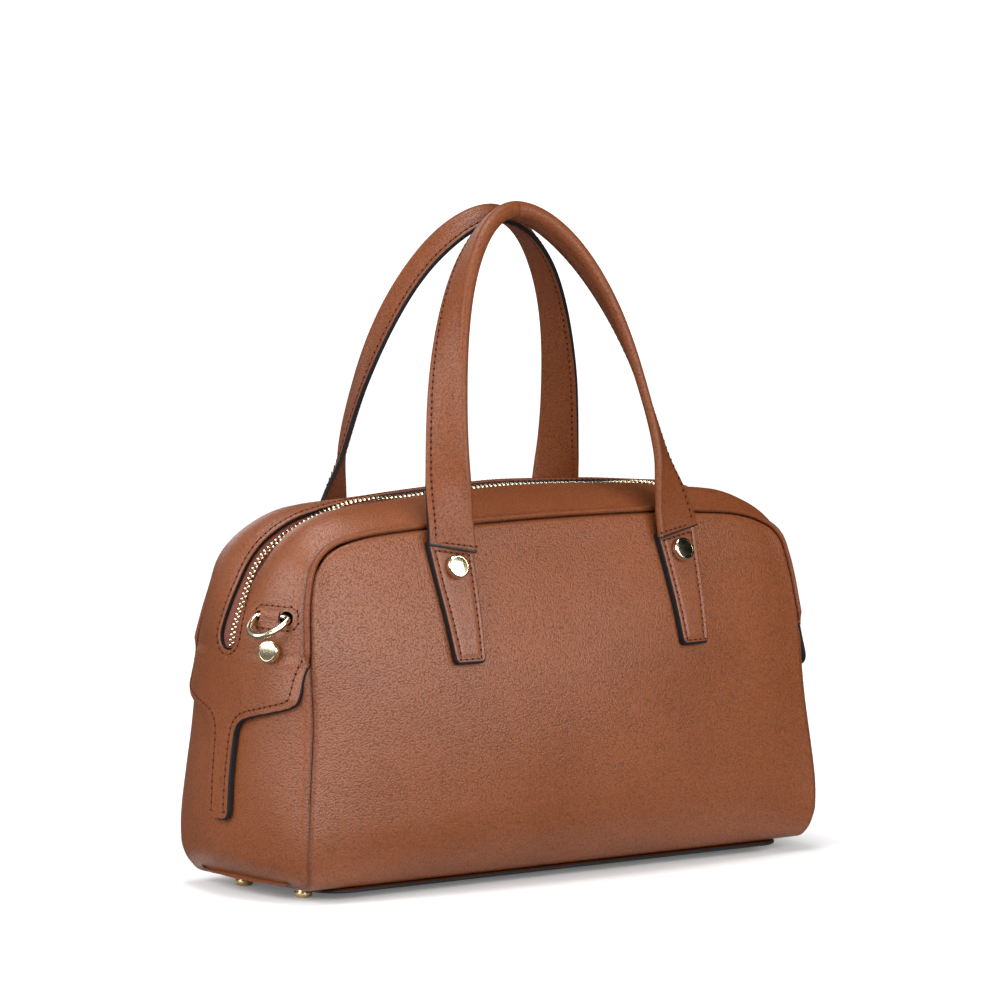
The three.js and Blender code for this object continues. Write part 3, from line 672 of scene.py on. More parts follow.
panel_sheet = grid_sheet(*PANEL_GRID, panel_place)
panel_rim = [panel_edge(row) for row in steps(1.0, LAST_ROW - 1.0, 4400)]
# Painted shade along the panel's seam groove
paint_shade_near(panel_sheet, panel_rim, 1.2, 0.6)
panel_inner = plan_wall(panel_sheet, LEATHER_WALL)
round_towards(panel_sheet, panel_rim, PANEL_EDGE_ROLL)
panel_hits = BVHTree.FromBMesh(panel_sheet)
add_wall(panel_sheet, panel_inner)
for face_name, sign in FACES:
    make_piece(f"{face_name}_panel_leather", mirrored(panel_sheet, 1, sign), [panel_leather],
               [f"{face_name}_panel"])

# Piping along the seam, where the gusset's edge is rolled and stitched
PIPING_RADIUS = 1.4
PIPING_START = 9.76
PIPING_TAPER = 0.45
PIPING_TIP = 0.25
PIPING_OUT = 0.2
PIPING_IN = 1.6


def piping_place(u, v):
    row = PIPING_START + (LAST_ROW - 2 * PIPING_START) * v
    angle = -2 * math.pi * u
    from_end = TOP_ROW - PIPING_START - abs(row - TOP_ROW)
    radius = PIPING_RADIUS * (PIPING_TIP + (1.0 - PIPING_TIP) * rise(from_end, 0.0, PIPING_TAPER))
    return beside_seam(row, PIPING_OUT + radius * math.cos(angle), PIPING_IN + radius * math.sin(angle))


def close_ends(bm):
    bmesh.ops.holes_fill(bm, edges=rim_edges(bm), sides=0)


piping = grid_sheet(14, 330, piping_place)
close_ends(piping)
face_outward(piping)
for face_name, sign in FACES:
    make_piece(f"{face_name}_piping_leather", mirrored(piping, 1, sign), [strap_leather],
               [f"piping_{face_name}"])

# Sides
SIDE_OUT = 0.3
SIDE_IN = 0.9
SIDE_ROLL = 4.2
SIDE_START = 1.7
SIDE_END = 9.8
SIDE_WAVE = 0.5
SIDE_WAVE_LENGTH = (34.0, 45.0)
SIDE_WAVE_LOW = (10.0, 30.0)
# Height and how far out the middle of the end lies
SIDE_CROWN = [
    (8.4, 147.2), (12.0, 151.0), (18.0, 154.2), (28.0, 156.4), (36.0, 157.0), (60.0, 156.8),
    (80.0, 155.9), (104.0, 154.4), (112.0, 154.0),
]
side_crown = smooth_table(SIDE_CROWN)


def side_point(y, edge):
    out = 1.0 - abs(y / edge.y) ** CROWN_POWER
    return Vector((edge.x + (side_crown(edge.z) - edge.x) * out, y, edge.z))


def side_place(u, v):
    row = SIDE_START + (SIDE_END - SIDE_START) * v
    edge = beside_seam(row, SIDE_OUT, SIDE_IN)
    share = math.sin((u - 0.5) * math.pi)
    spot = side_point(-share * edge.y, edge)
    body = (1.0 - share ** WAVE_POWER) * rise(edge.z, *SIDE_WAVE_LOW)
    along, up = spot.y / SIDE_WAVE_LENGTH[0], spot.z / SIDE_WAVE_LENGTH[1]
    spot.x += SIDE_WAVE * body * noise.noise(Vector((7.7, along, up)))
    return spot


side_sheet = grid_sheet(84, 96, side_place)
side_edge = []
for row in steps(SIDE_START, SIDE_END, 900):
    edge = beside_seam(row, SIDE_OUT, SIDE_IN)
    side_edge += [edge, mirror_y(edge)]
# Painted shade along the end's seam groove
paint_shade_near(side_sheet, side_edge, 1.4, 0.6)
side_inner = plan_wall(side_sheet, LEATHER_WALL)
round_towards(side_sheet, side_edge, SIDE_ROLL, 0.8)
add_wall(side_sheet, side_inner)
for end_name, sign in ENDS:
    make_piece(f"{end_name}_side_leather", mirrored(side_sheet, sign, 1), [gusset_leather],
               [f"{end_name}_side"])

# Top gusset with its flaps
GUSSET_OUT = 1.0
GUSSET_IN = 3.8
GUSSET_WALL = 2.7
# Height and half-width of the flap and its tongue
FLAP = [
    (35.7, 3.0), (36.4, 5.6), (38.2, 7.3), (41.0, 8.0), (58.0, 8.3), (73.0, 8.8), (78.0, 9.9), (81.0, 12.6),
    (82.8, 17.0), (84.8, 25.0), (86.8, 33.0), (88.6, 38.2), (91.0, 41.0), (95.0, 42.2), (101.0, 42.7),
    (105.0, 43.4), (108.5, 44.4),
]
FLAP_BOTTOM = FLAP[0][0]
FLAP_TOP = FLAP[-1][0]
FLAP_LIFT = 3.3
FLAP_TUCK = 93.0
FLAP_FLAT = 26.0
FLAP_TUCK_SHARE = 0.9
FLAP_PAINT = 0.7
SLOT_END = 7.2
SLOT_RUN = 4.8
SLOT_NARROWS_TO = 36.0
FRONT_SWELL = 6.75
# The back swells little over the middle and more over the shoulders
BACK_SWELL = 0.8
BACK_SHOULDER_SWELL = 4.4
BACK_SHOULDER = (62.0, 107.0)
HALF_COLUMNS = 26
PIPING_REACH = 0.75
LIP_DROP = 2.6
LIP_REACH = 5.0
LIP_RUN = (14.0, 54.0)
SLOPE_STEP = 0.5
ROW_STEP = 0.05
flap_half_width = smooth_table(FLAP)
row_at_height = smooth_table([(seam_line(row).z, row) for row in steps(4.0, FLAP_ROW, 240)])


def gusset_edge(row):
    return beside_seam(row, GUSSET_OUT, GUSSET_IN)


def flap_place(y, z):
    def at(py, pz):
        edge = gusset_edge(row_at_height(pz))
        return side_point(py, Vector((edge.x, edge.y, pz)))
    spot = at(y, z)
    along_y = at(y + SLOPE_STEP, z) - at(y - SLOPE_STEP, z)
    along_z = at(y, z + SLOPE_STEP) - spot
    near_seam = rise(abs(y), FLAP_FLAT, flap_half_width(z)) if abs(y) > FLAP_FLAT else 0.0
    lift = FLAP_LIFT * (1.0 - FLAP_TUCK_SHARE * near_seam * share_of(z, FLAP_TUCK, FLAP_TOP))
    return spot + along_y.cross(along_z).normalized() * lift


def band_place(row, y):
    edge = gusset_edge(row)
    crown = crown_line(row - FLAP_ROW)
    share = min(abs(y / edge.y), 1.0)
    swell = share * (1.0 - share) * band_swell(min(row, LAST_ROW - row))
    if y < 0:
        swell *= FRONT_SWELL * share
    else:
        swell *= BACK_SWELL + BACK_SHOULDER_SWELL * rise(abs(edge.x), *BACK_SHOULDER)
    spot = edge.lerp(crown, 1.0 - share ** CROWN_POWER) + swell * seam_frame(row)[1]
    spot.y = y
    return spot


def band_frame(row, y):
    """A place on the band, with its directions out of the leather, across and along."""
    up = (band_place(row + ROW_STEP, y) - band_place(row - ROW_STEP, y)).normalized()
    across = (band_place(row, y + SLOPE_STEP) - band_place(row, y - SLOPE_STEP)).normalized()
    normal = across.cross(up).normalized()
    return band_place(row, y), normal, across, normal.cross(across)


def crown_of_band(row):
    return band_place(row, 0.0)


band_start_crown = crown_of_band(BAND_START)


def from_slot_end(row):
    return (crown_of_band(row) - band_start_crown).length


def slot_half_width(row):
    from_end = from_slot_end(row)
    if from_end < SLOT_END:
        return math.sqrt(max(SLOT_END ** 2 - (SLOT_END - from_end) ** 2, 0.0))
    return SLOT_END + (SLOT_RUN - SLOT_END) * rise(from_end, SLOT_END, SLOT_NARROWS_TO)


def gusset_row(inside, outside, place):
    shares = [0.5 - 0.5 * math.cos(math.pi * i / HALF_COLUMNS) for i in range(HALF_COLUMNS + 1)]
    back = [place(inside + (outside - inside) * s) for s in shares]
    return [mirror_y(p) for p in reversed(back)] + back


def lowered_lip(row, spot):
    """The front lip of the zip slot lies lower than the back one, which leaves the teeth in sight."""
    if spot.y >= 0:
        return spot
    along = rise(from_slot_end(row), *LIP_RUN)
    gap = (-spot.y - slot_half_width(row)) / LIP_REACH
    return spot - seam_frame(row)[1] * (LIP_DROP * along * math.exp(-gap * gap))


def make_gusset_rows():
    heights = step_chain((FLAP_BOTTOM, 41.0, 14), (41.0, 72.0, 18), (72.0, 92.0, 48), (92.0, FLAP_TOP, 14))
    flap_rows = [gusset_row(0.0, flap_half_width(z), lambda y, z=z: flap_place(y, z)) for z in heights]
    band_rows = []
    for row in step_chain((BAND_START, 10.25, 10), (10.25, 11.4, 12), (11.4, 16.0, 44), (16.0, TOP_ROW, 44)):
        outside = abs(gusset_edge(row).y) + PIPING_REACH
        points = gusset_row(slot_half_width(row), outside, lambda y, row=row: band_place(row, y))
        band_rows.append([lowered_lip(row, p) for p in points])
    between = []
    for share in steps(0.0, 1.0, 7)[1:-1]:
        between.append([
            line_through([flap_rows[-3][c], flap_rows[-1][c], band_rows[0][c], band_rows[4][c]])(1.0 + share)
            for c in range(len(band_rows[0]))
        ])
    half = flap_rows + between + band_rows
    return half + [[mirror_x(p) for p in row] for row in reversed(half[:-1])]


def make_gusset_sheet():
    rows = make_gusset_rows()
    columns = len(rows[0]) - 1
    last = len(rows) - 1
    middle = 0.55 / columns
    return grid_sheet(columns, last, lambda u, v: rows[round(v * last)][round(u * columns)].copy(),
                      keep=lambda u, v: abs(u - 0.5) > middle)


gusset_sheet = make_gusset_sheet()
gusset_seam = []
for row in steps(BAND_START, LAST_ROW - BAND_START, 3000):
    edge = gusset_edge(row)
    edge.y -= PIPING_REACH
    gusset_seam += [edge, mirror_y(edge)]
seam_tree = point_tree(gusset_seam)
cut_edges = [e for e in rim_edges(gusset_sheet)
             if seam_tree.find((e.verts[0].co + e.verts[1].co) / 2)[2] > 0.4]
cut_points = along_edges(cut_edges, 0.2)
cut_tree = point_tree(cut_points)
for face in gusset_sheet.faces:
    centre = face.calc_center_median()
    paint = FLAP_PAINT if centre.x * centre.y > 0 else FLAP_PAINT / 2
    if centre.z < FLAP_TOP and cut_tree.find(centre)[2] < paint:
        face.material_index = 1
# Painted shade along the gusset's seam groove
paint_shade_near(gusset_sheet, gusset_seam, 0.9, 0.5)
gusset_inner = plan_wall(gusset_sheet, GUSSET_WALL)
round_towards(gusset_sheet, gusset_seam, 0.8)
round_towards(gusset_sheet, cut_points, 0.6)
gusset_hits = BVHTree.FromBMesh(gusset_sheet)


def rim_is_cut(centre):
    return 1 if seam_tree.find(centre)[2] > 3.2 else 0


# Strap rings: their places on the gusset
RING_POINT = Vector((148.387, 24.791, 129.414))
RING_OUT = Vector((0.9083, 0.3393, 0.2445)).normalized()
RING_ACROSS = Vector((-0.341657, 0.939201, -0.034224)).normalized()
RING_DEPTH = 1.5
RING_LEAN = math.radians(45.0)
RING_HALF_BAR = 8.75
RING_REACH = 15.4
RING_WIRE = 1.45
RING_CORNER = 2.5
ring_place = frame_matrix(RING_POINT, RING_OUT, RING_ACROSS, RING_OUT.cross(RING_ACROSS))
# Each hole: middle along the bar, middle height, length, height
RING_HOLES = [(7.4, -0.8, 6.6, 6.6), (-7.7, -0.6, 2.9, 4.6)]
HOLE_DEPTH = 14.0


def make_hole_block(middle, height, length, tall):
    """The block that cuts one hole: it reaches through the leather and has rounded corners."""
    block = make_block((HOLE_DEPTH, length, tall))
    deep = [e for e in block.edges if abs((e.verts[0].co - e.verts[1].co).normalized().x) > 0.9]
    bevel(block, deep, 0.45 * min(length, tall), 4)
    bmesh.ops.translate(block, vec=(0.0, middle, height), verts=block.verts[:])
    move_by(block, ring_place)
    return block


def cut_ring_holes(sheet_piece):
    """Cuts the two holes at each ring, with black walls."""
    cutter = bmesh.new()
    for hole in RING_HOLES:
        block = make_hole_block(*hole)
        for _, sign in ENDS:
            mesh = mesh_from("hole", at_end(block, sign))
            cutter.from_mesh(mesh)
            bpy.data.meshes.remove(mesh)
    move_by(cutter, Matrix.Scale(MM, 4))
    mesh = mesh_from("holes", cutter)
    mesh.materials.append(black_edge)
    holes = new_object("holes", mesh)
    cut = sheet_piece.modifiers.new("holes", "BOOLEAN")
    cut.operation = "DIFFERENCE"
    cut.solver = "EXACT"
    cut.material_mode = "TRANSFER"
    cut.object = holes
    bpy.context.view_layer.update()
    made = bpy.data.meshes.new_from_object(sheet_piece.evaluated_get(bpy.context.evaluated_depsgraph_get()))
    sheet_piece.modifiers.clear()
    sheet_piece.data = made
    made.name = sheet_piece.name
    bpy.data.objects.remove(holes)


add_wall(gusset_sheet, gusset_inner, rim_is_cut)
cut_ring_holes(make_piece("top_gusset_leather", gusset_sheet, [gusset_leather, black_edge],
                          ["top_gusset"]))

# Zip
TAPE_HALF_WIDTH = 11.0
TAPE_DEPTH = 2.5
TAPE_WALL = 0.8
TAPE_LENGTH = 560.0
ZIP_START = 10.16
TOOTH_PITCH = 2.5
TOOTH_SIZE = (2.7, 1.4, 2.0)
TOOTH_SIDE = 1.05
TOOTH_DEPTH = 2.3
TOOTH_RISE = 2.2
TOOTH_BACK = 0.6
TOOTH_UP, TOOTH_DOWN = (22.0, 47.0), (122.0, 92.0)
TEETH_START = ZIP_START + 0.03


def make_tape_sheet():
    bm = grid_sheet(16, 300, lambda u, v: Vector((u, v, 0.0)), merge=0)
    along = bm.verts.layers.float.new("along")
    across = bm.verts.layers.float.new("across")
    for v in bm.verts:
        u, w = v.co.x, v.co.y
        y = TAPE_HALF_WIDTH * (2.0 * u - 1.0)
        spot, normal, _, _ = band_frame(ZIP_START + (LAST_ROW - 2 * ZIP_START) * w, y)
        v.co = spot - normal * TAPE_DEPTH
        v[along], v[across] = w * TAPE_LENGTH, y
    add_wall(bm, plan_wall(bm, TAPE_WALL))
    return bm


make_piece("zip_tape_weave", make_tape_sheet(), [tape_weave], ["zip_tape"])


def even_places(line, pitch, low, high):
    """Places along a line at an even pitch."""
    places, walked, before = [], 0.0, line(low)
    wanted = pitch / 2
    for place in steps(low, high, 3000)[1:]:
        here = line(place)
        walked += (here - before).length
        before = here
        if walked >= wanted:
            places.append(place)
            wanted += pitch
    return places


def add_copies(template, matrices):
    bm = bmesh.new()
    mesh = mesh_from("template", template)
    for matrix in matrices:
        start = len(bm.verts)
        bm.from_mesh(mesh)
        bm.verts.ensure_lookup_table()
        bmesh.ops.transform(bm, matrix=matrix, verts=bm.verts[start:])
    bpy.data.meshes.remove(mesh)
    return bm


def make_teeth():
    """Two rows of teeth that mesh, raised into sight over the shoulders of the band."""
    tooth = bmesh.new()
    bmesh.ops.create_uvsphere(tooth, u_segments=8, v_segments=6, radius=0.5)
    bmesh.ops.scale(tooth, vec=TOOTH_SIZE, verts=tooth.verts[:])
    rows = even_places(crown_of_band, TOOTH_PITCH / 2, TEETH_START, LAST_ROW - TEETH_START)
    matrices = []
    for i, row in enumerate(rows):
        spot, normal, across, up = band_frame(row, 0.0)
        side = TOOTH_SIDE if i % 2 else -TOOTH_SIDE
        nearer_end = band_start_crown if spot.x > 0 else mirror_x(band_start_crown)
        reach = (spot - nearer_end).length
        raised = rise(reach, *TOOTH_UP) * rise(reach, *TOOTH_DOWN)
        spot += normal * (TOOTH_RISE * raised - TOOTH_DEPTH) + across * (TOOTH_BACK * raised + side)
        matrices.append(frame_matrix(spot, across, up, normal))
    return add_copies(tooth, matrices)


make_piece("zip_teeth", make_teeth(), [pale_gold], ["zip_chain"])

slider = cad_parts["zip_slider"]
slider.data.materials.clear()
slider.data.materials.append(pale_gold)

# Handles
HANDLE_END = Vector((65.6, -48.3, 156.4))
HANDLE_LEAN_BACK = math.radians(11.5)
HANDLE_END_REACH = 118.0
HANDLE_TOP_REACH = 21.0
HANDLE_TOP_Y = -7.4
HANDLE_END_SLANT = math.tan(math.radians(9.0))
HANDLE_SLANT_RUN = 0.03
TWIST_STARTS, TWIST_ENDS = (0.0, 0.05), (0.6, 0.25)
RAW_EDGE = 1.2
# Place along the half, width, radius of the rolled edge, turn in degrees
STRAP = [
    (0.0, 25.0, 1.7, 5.0), (0.03, 23.6, 1.8, 8.0), (0.06, 22.2, 1.9, 18.0), (0.12, 20.2, 2.1, 42.0),
    (0.25, 18.6, 2.4, 56.0), (0.45, 17.0, 3.0, 80.0), (0.7, 15.6, 3.6, 102.0), (1.0, 13.0, 3.9, 118.0),
]
strap_width, strap_roll, strap_turn = (smooth_table(STRAP, column) for column in (1, 2, 3))


def strap_style(top_height, lean_in, twist):
    """The control points of one handle's half, and how far it is twisted near its end, in degrees."""
    top = Vector((0.0, HANDLE_TOP_Y, top_height))
    way_up = Vector((
        -math.tan(math.radians(lean_in)), math.sin(HANDLE_LEAN_BACK), math.cos(HANDLE_LEAN_BACK),
    )).normalized()
    near_top = top + Vector((HANDLE_TOP_REACH, 0.0, 0.0))
    return [HANDLE_END, HANDLE_END + HANDLE_END_REACH * way_up, near_top, top], twist


# The back handle stands straighter than the front one, and is twisted
STRAPS = (("front", 1, strap_style(306.4, 3.0, 0.0)), ("back", -1, strap_style(304.6, 0.5, 13.0)))


def strap_frame(t, style):
    """The middle of the strap, the way to its rolled edge, its face and its run."""
    (a, b, c, d), twist = style
    middle = a * (1 - t) ** 3 + b * (3 * t * (1 - t) ** 2) + c * (3 * t * t * (1 - t)) + d * t ** 3
    along = ((b - a) * (1 - t) ** 2 + (c - b) * (2 * t * (1 - t)) + (d - c) * t * t).normalized()
    back = Vector((0.0, 1.0, 0.0)) - along * along.y
    back.normalize()
    outside = back.cross(along)
    turn = math.radians(strap_turn(t) + twist * rise(t, *TWIST_STARTS) * rise(t, *TWIST_ENDS))
    to_roll = -outside * math.cos(turn) - back * math.sin(turn)
    return middle, to_roll, along.cross(to_roll), along


ROLL_ANGLES = (112, 90, 75, 60, 45, 30, 15, 0)
OUTLINE_PARTS = 4.0 + len(ROLL_ANGLES)


def strap_outline(t):
    """One side of the strap's section, from the middle of the raw edge to the tip of the rolled edge."""
    half, roll = strap_width(t) / 2, strap_roll(t)
    side = [(-half, 0.0, 0), (-half, 0.75 * RAW_EDGE, 0), (-half + 0.5, RAW_EDGE, 0),
            (-half * 0.72, RAW_EDGE + 0.1 * roll, 0), (-half * 0.25, 0.84 * roll, 0)]
    for angle in map(math.radians, ROLL_ANGLES):
        side.append((half - roll + roll * math.cos(angle), roll * math.sin(angle), 0))
    return side


def strap_point(t, u, style):
    """A point on the strap's skin: u runs from the raw edge over the rolled edge and back."""
    spot = line_through(strap_outline(t))(OUTLINE_PARTS * (1.0 - abs(2.0 * u - 1.0)))
    sign = 1.0 if u < 0.5 else -1.0
    centre, to_roll, face, along = strap_frame(t, style)
    slant = HANDLE_END_SLANT * max(0.0, 1.0 - t / HANDLE_SLANT_RUN)
    return centre + to_roll * spot.x + face * (spot.y * sign) - along * (slant * spot.x)


HANDLE_COLUMNS = 52
HANDLE_ROWS = 180
HANDLE_CROWDING = 0.9
RAW_PAINT = 0.1
END_PAINT = 0.0022


def handle_along(v):
    """The place along the half, with rows that lie closer together near the end and the top."""
    half = 1.0 - abs(2.0 * v - 1.0)
    return half - HANDLE_CROWDING * math.sin(2 * math.pi * half) / (2 * math.pi)


def handle_paint(u, v):
    raw = 1.0 - abs(2.0 * u - 1.0) < RAW_PAINT
    return 1 if raw or handle_along(v) < END_PAINT else 0


def make_handle_skin(style):
    def place(u, v):
        spot = strap_point(handle_along(v), u, style)
        return spot if v <= 0.5 else mirror_x(spot)
    bm = grid_sheet(HANDLE_COLUMNS, HANDLE_ROWS, place, paint=handle_paint)
    close_ends(bm)
    # Painted shade in the crease across the top of the handle
    paint_shade_near(bm, [strap_point(1.0, u, style) for u in steps(0.2, 0.8, 200)], 0.5, 0.8)
    face_outward(bm)
    for face in bm.faces:
        if len(face.verts) > 4:
            face.material_index = 1
    return bm


for face_name, sign, style in STRAPS:
    make_piece(f"{face_name}_handle_leather", mirrored(make_handle_skin(style), 1, sign),
               [strap_leather, black_edge], [f"handle_{face_name}"])

# Tabs that hold the handles: x, height and half-width at the top and the end
TAB_TOP = (65.7, 157.4, 11.8)
TAB_END = (65.2, 104.6, 7.7)
TAB_SLANT = 0.169
TAB_WALL = 3.5
TAB_GAP = 0.25
TAB_CORNER = 0.042
TAB_CORNER_CUT = 0.28
# Black edge paint that wraps onto the tab's face; towards the tab's end it widens, which also paints the
# shadow under the tab's lower edge
TAB_PAINT = 0.4
TAB_END_PAINT_AND_SHADE = 1.0
TAB_END_RUN = (0.93, 0.98)
TAB_STITCH = 2.7
TAB_SINK = 0.35
TAB_SINK_REACH = 0.9
PANEL_FACE_STEP = 1.5


def on_panel(x, z):
    """The front panel's surface over a place in the front view."""
    return panel_hits.ray_cast(Vector((x, FRONT_START, z)), TO_BACK)[0]


def panel_face(x, z):
    """A place on the front panel, with a direction out of it that turns smoothly."""
    along_x = on_panel(x + PANEL_FACE_STEP, z) - on_panel(x - PANEL_FACE_STEP, z)
    along_z = on_panel(x, z + PANEL_FACE_STEP) - on_panel(x, z - PANEL_FACE_STEP)
    return on_panel(x, z), along_x.cross(along_z).normalized()


def tab_spot(along, across):
    """A place on the tab in the front view: along from 0 at the top, across from -1 to 1."""
    x, z, half = (top + (end - top) * along for top, end in zip(TAB_TOP, TAB_END))
    end = max(0.0, (along - (1.0 - TAB_CORNER)) / TAB_CORNER)
    half *= 1.0 - TAB_CORNER_CUT * (1.0 - math.sqrt(max(0.0, 1.0 - end * end)))
    reach = half * across
    return x + reach, z + reach * TAB_SLANT * (1.0 - along) ** 2


def tab_along(v):
    return 0.5 - 0.5 * math.cos(math.pi * (1.0 - v))


def tab_across(u):
    return math.sin((u - 0.5) * math.pi)


def tab_outline():
    line = [tab_spot(along, -1.0) for along in steps(0.0, 1.0, 400)]
    line += [tab_spot(1.0, across) for across in steps(-1.0, 1.0, 100)[1:]]
    line += [tab_spot(along, 1.0) for along in steps(1.0, 0.0, 400)[1:]]
    return line + [tab_spot(0.0, across) for across in steps(1.0, -1.0, 100)[1:]]


tab_border = point_tree([Vector((x, z, 0.0)) for x, z in tab_outline()])


def inside_tab(u, v):
    """How far a place lies inside the tab's edge."""
    x, z = tab_spot(tab_along(v), tab_across(u))
    return tab_border.find(Vector((x, z, 0.0)))[2]


def tab_place(u, v):
    spot, normal = panel_face(*tab_spot(tab_along(v), tab_across(u)))
    from_stitches = (inside_tab(u, v) - TAB_STITCH) / TAB_SINK_REACH
    return spot + normal * (TAB_GAP + TAB_WALL - TAB_SINK * math.exp(-from_stitches ** 2))


def tab_paint(u, v):
    # Edge paint, widened at the end into a painted shadow under the tab's lower edge
    paint = TAB_PAINT + (TAB_END_PAINT_AND_SHADE - TAB_PAINT) * rise(tab_along(v), *TAB_END_RUN)
    return 1 if inside_tab(u, v) < paint else 0


tab_sheet = grid_sheet(44, 64, tab_place, paint=tab_paint)
tab_inner = [(v, v.co - panel_face(v.co.x, v.co.z)[1] * TAB_WALL) for v in tab_sheet.verts]
round_towards(tab_sheet, along_edges(rim_edges(tab_sheet), 0.15), 1.0)
tab_hits = BVHTree.FromBMesh(tab_sheet)
add_wall(tab_sheet, tab_inner, all_black)


# Turned metal: studs and feet
def turned_metal(profile, segments=48):
    """Spins a profile of radius and height about its own Z axis."""
    bm = bmesh.new()
    line = [bm.verts.new((radius, 0.0, height)) for radius, height in profile]
    edges = [bm.edges.new(pair) for pair in zip(line, line[1:])]
    bmesh.ops.spin(bm, geom=line + edges, cent=(0, 0, 0), axis=(0, 0, 1), angle=2 * math.pi, steps=segments,
                   use_merge=True)
    bmesh.ops.remove_doubles(bm, verts=bm.verts[:], dist=0.001)
    face_outward(bm)
    return bm


# Shares of the radius and height: a rounded button with a groove inside its rim
STUD_SHARES = [
    (0.0, 0.0), (0.8, 0.0), (0.92, 0.08), (0.98, 0.2), (1.0, 0.36), (1.0, 0.62), (0.985, 0.78), (0.95, 0.9),
    (0.9, 0.97), (0.85, 1.0), (0.8, 1.0), (0.79, 0.92), (0.76, 0.92), (0.75, 0.97), (0.5, 1.0),
    (0.25, 1.015), (0.0, 1.02),
]
# Radius and height
HANDLE_STUD = (5.6, 3.6)
HANDLE_STUD_PLACE = (65.3, 146.9)
HANDLE_STUD_LIFT = TAB_GAP + TAB_WALL + 0.1
SIDE_STUD = (5.2, 3.7)
SIDE_STUD_PLACE = (10.22, 28.2)
SIDE_STUD_LIFT = 1.1
FOOT_PROFILE = [
    (0.0, 0.0), (2.4, 0.0), (3.0, 0.12), (3.5, 0.4), (3.85, 0.85), (4.0, 1.4), (4.0, 2.4), (3.9, 2.75),
    (3.4, 2.9), (3.2, 3.9), (0.0, 3.9),
]
FOOT_SEGMENTS = 40
FOOT_X = 132.0
FOOT_Y = 23.3


def make_stud(radius, height, spot, normal, lift):
    button = turned_metal([(radius * across, height * up) for across, up in STUD_SHARES])
    turn = normal.to_track_quat("Z", "Y").to_matrix().to_4x4()
    move_by(button, Matrix.Translation(spot + normal * lift) @ turn)
    return button


handle_stud = make_stud(*HANDLE_STUD, *panel_face(*HANDLE_STUD_PLACE), HANDLE_STUD_LIFT)
side_stud = make_stud(*SIDE_STUD, *band_frame(*SIDE_STUD_PLACE)[:2], SIDE_STUD_LIFT)
for face_name, sign_y in FACES:
    for end_name, sign_x in ENDS:
        place = f"{face_name}_{end_name}"
        make_piece(f"{place}_tab_leather", mirrored(tab_sheet, sign_x, sign_y), [tab_leather, black_edge],
                   [f"handle_tab_{place}"])
        make_piece(f"{place}_handle_stud", mirrored(handle_stud, sign_x, sign_y), [pale_gold],
                   [f"handle_stud_{place}"])
        foot = turned_metal(FOOT_PROFILE, FOOT_SEGMENTS)
        bmesh.ops.translate(foot, vec=(sign_x * FOOT_X, -sign_y * FOOT_Y, 0.0), verts=foot.verts[:])
        make_piece(f"{place}_foot", foot, [warm_gold], [f"foot_{place}"])

# Strap rings
KEEPER_HALF_LENGTH = 5.1
KEEPER_HALF_HEIGHT = 3.4
KEEPER_RISE = 0.9
KEEPER_LEAST_RISE = 0.55
KEEPER_FLOOR = RING_DEPTH + 0.15
KEEPER_SHIFT = -1.1
KEEPER_SQUASH = 0.92
KEEPER_WALL = 1.1
RING_SIDES = 14


def ring_path():
    """The ring's line in its own plane: along the bar, round a corner, and back round the bow."""
    def bend(middle, radius_y, radius_z, low, high, count):
        return [(middle + radius_y * math.cos(angle), -RING_CORNER + radius_z * math.sin(angle))
                for angle in steps(low, high, count)[1:]]
    straight = RING_HALF_BAR - RING_CORNER
    points = [(y, 0.0) for y in steps(-straight, straight, 12)]
    points += bend(straight, RING_CORNER, RING_CORNER, math.pi / 2, 0.0, 8)
    points += bend(0.0, RING_HALF_BAR, RING_REACH - RING_CORNER, 0.0, -math.pi, 40)
    return points + bend(-straight, RING_CORNER, RING_CORNER, math.pi, math.pi / 2, 8)[:-1]


def make_ring():
    path = ring_path()
    count = len(path)

    def place(u, v):
        i = round(v * count) % count
        before, here, after = path[i - 1], path[i], path[(i + 1) % count]
        run = Vector((after[0] - before[0], after[1] - before[1])).normalized()
        angle = 2 * math.pi * u
        side, face = RING_WIRE * math.cos(angle), RING_WIRE * math.sin(angle)
        return Vector((face, here[0] - run.y * side, here[1] + run.x * side))
    bm = grid_sheet(RING_SIDES, count, place)
    face_outward(bm)
    move_by(bm, ring_place @ Matrix.Rotation(-RING_LEAN, 4, "Y"))
    return bm


def make_keeper():
    """The leather loop that lies over the ring's bar and tucks in under a slit."""
    def place(u, v):
        y, z = 2.0 * u - 1.0, 2.0 * v - 1.0
        arch = math.cos(math.pi / 2 * z) ** 0.7 if abs(z) < 1.0 else 0.0
        if z < 0:
            arch = max(arch, KEEPER_LEAST_RISE)
        out = KEEPER_FLOOR + KEEPER_RISE * arch * (1.0 - 0.2 * y ** 4)
        spot = Vector((out, KEEPER_HALF_LENGTH * y + KEEPER_SHIFT, KEEPER_HALF_HEIGHT * z * KEEPER_SQUASH))
        return ring_place @ spot
    bm = grid_sheet(20, 14, place)
    if bm.faces[:][0].normal.dot(RING_OUT) < 0:
        bmesh.ops.reverse_faces(bm, faces=bm.faces[:])
    add_wall(bm, plan_wall(bm, KEEPER_WALL), all_black)
    return bm


strap_ring, keeper = make_ring(), make_keeper()
for end_name, sign in ENDS:
    make_piece(f"{end_name}_side_stud", at_end(side_stud, sign), [pale_gold],
               [f"side_stud_{end_name}"])
    make_piece(f"{end_name}_strap_ring", at_end(strap_ring, sign), [pale_gold],
               [f"d_ring_{end_name}"], f"ring_{end_name}")
    make_piece(f"{end_name}_ring_loop", at_end(keeper, sign), [gusset_leather, black_edge],
               [f"ring_keeper_{end_name}"])

# Base
BASE_HALF = (134.0, 45.5)
BASE_CORNER = 14.0
BASE_BOTTOM = 3.6
BASE_THICK = 1.5
BASE_ROUNDING = 0.45
BASE_PAINT_END = 132.0
BASE_SHADE_FROM = 124.0


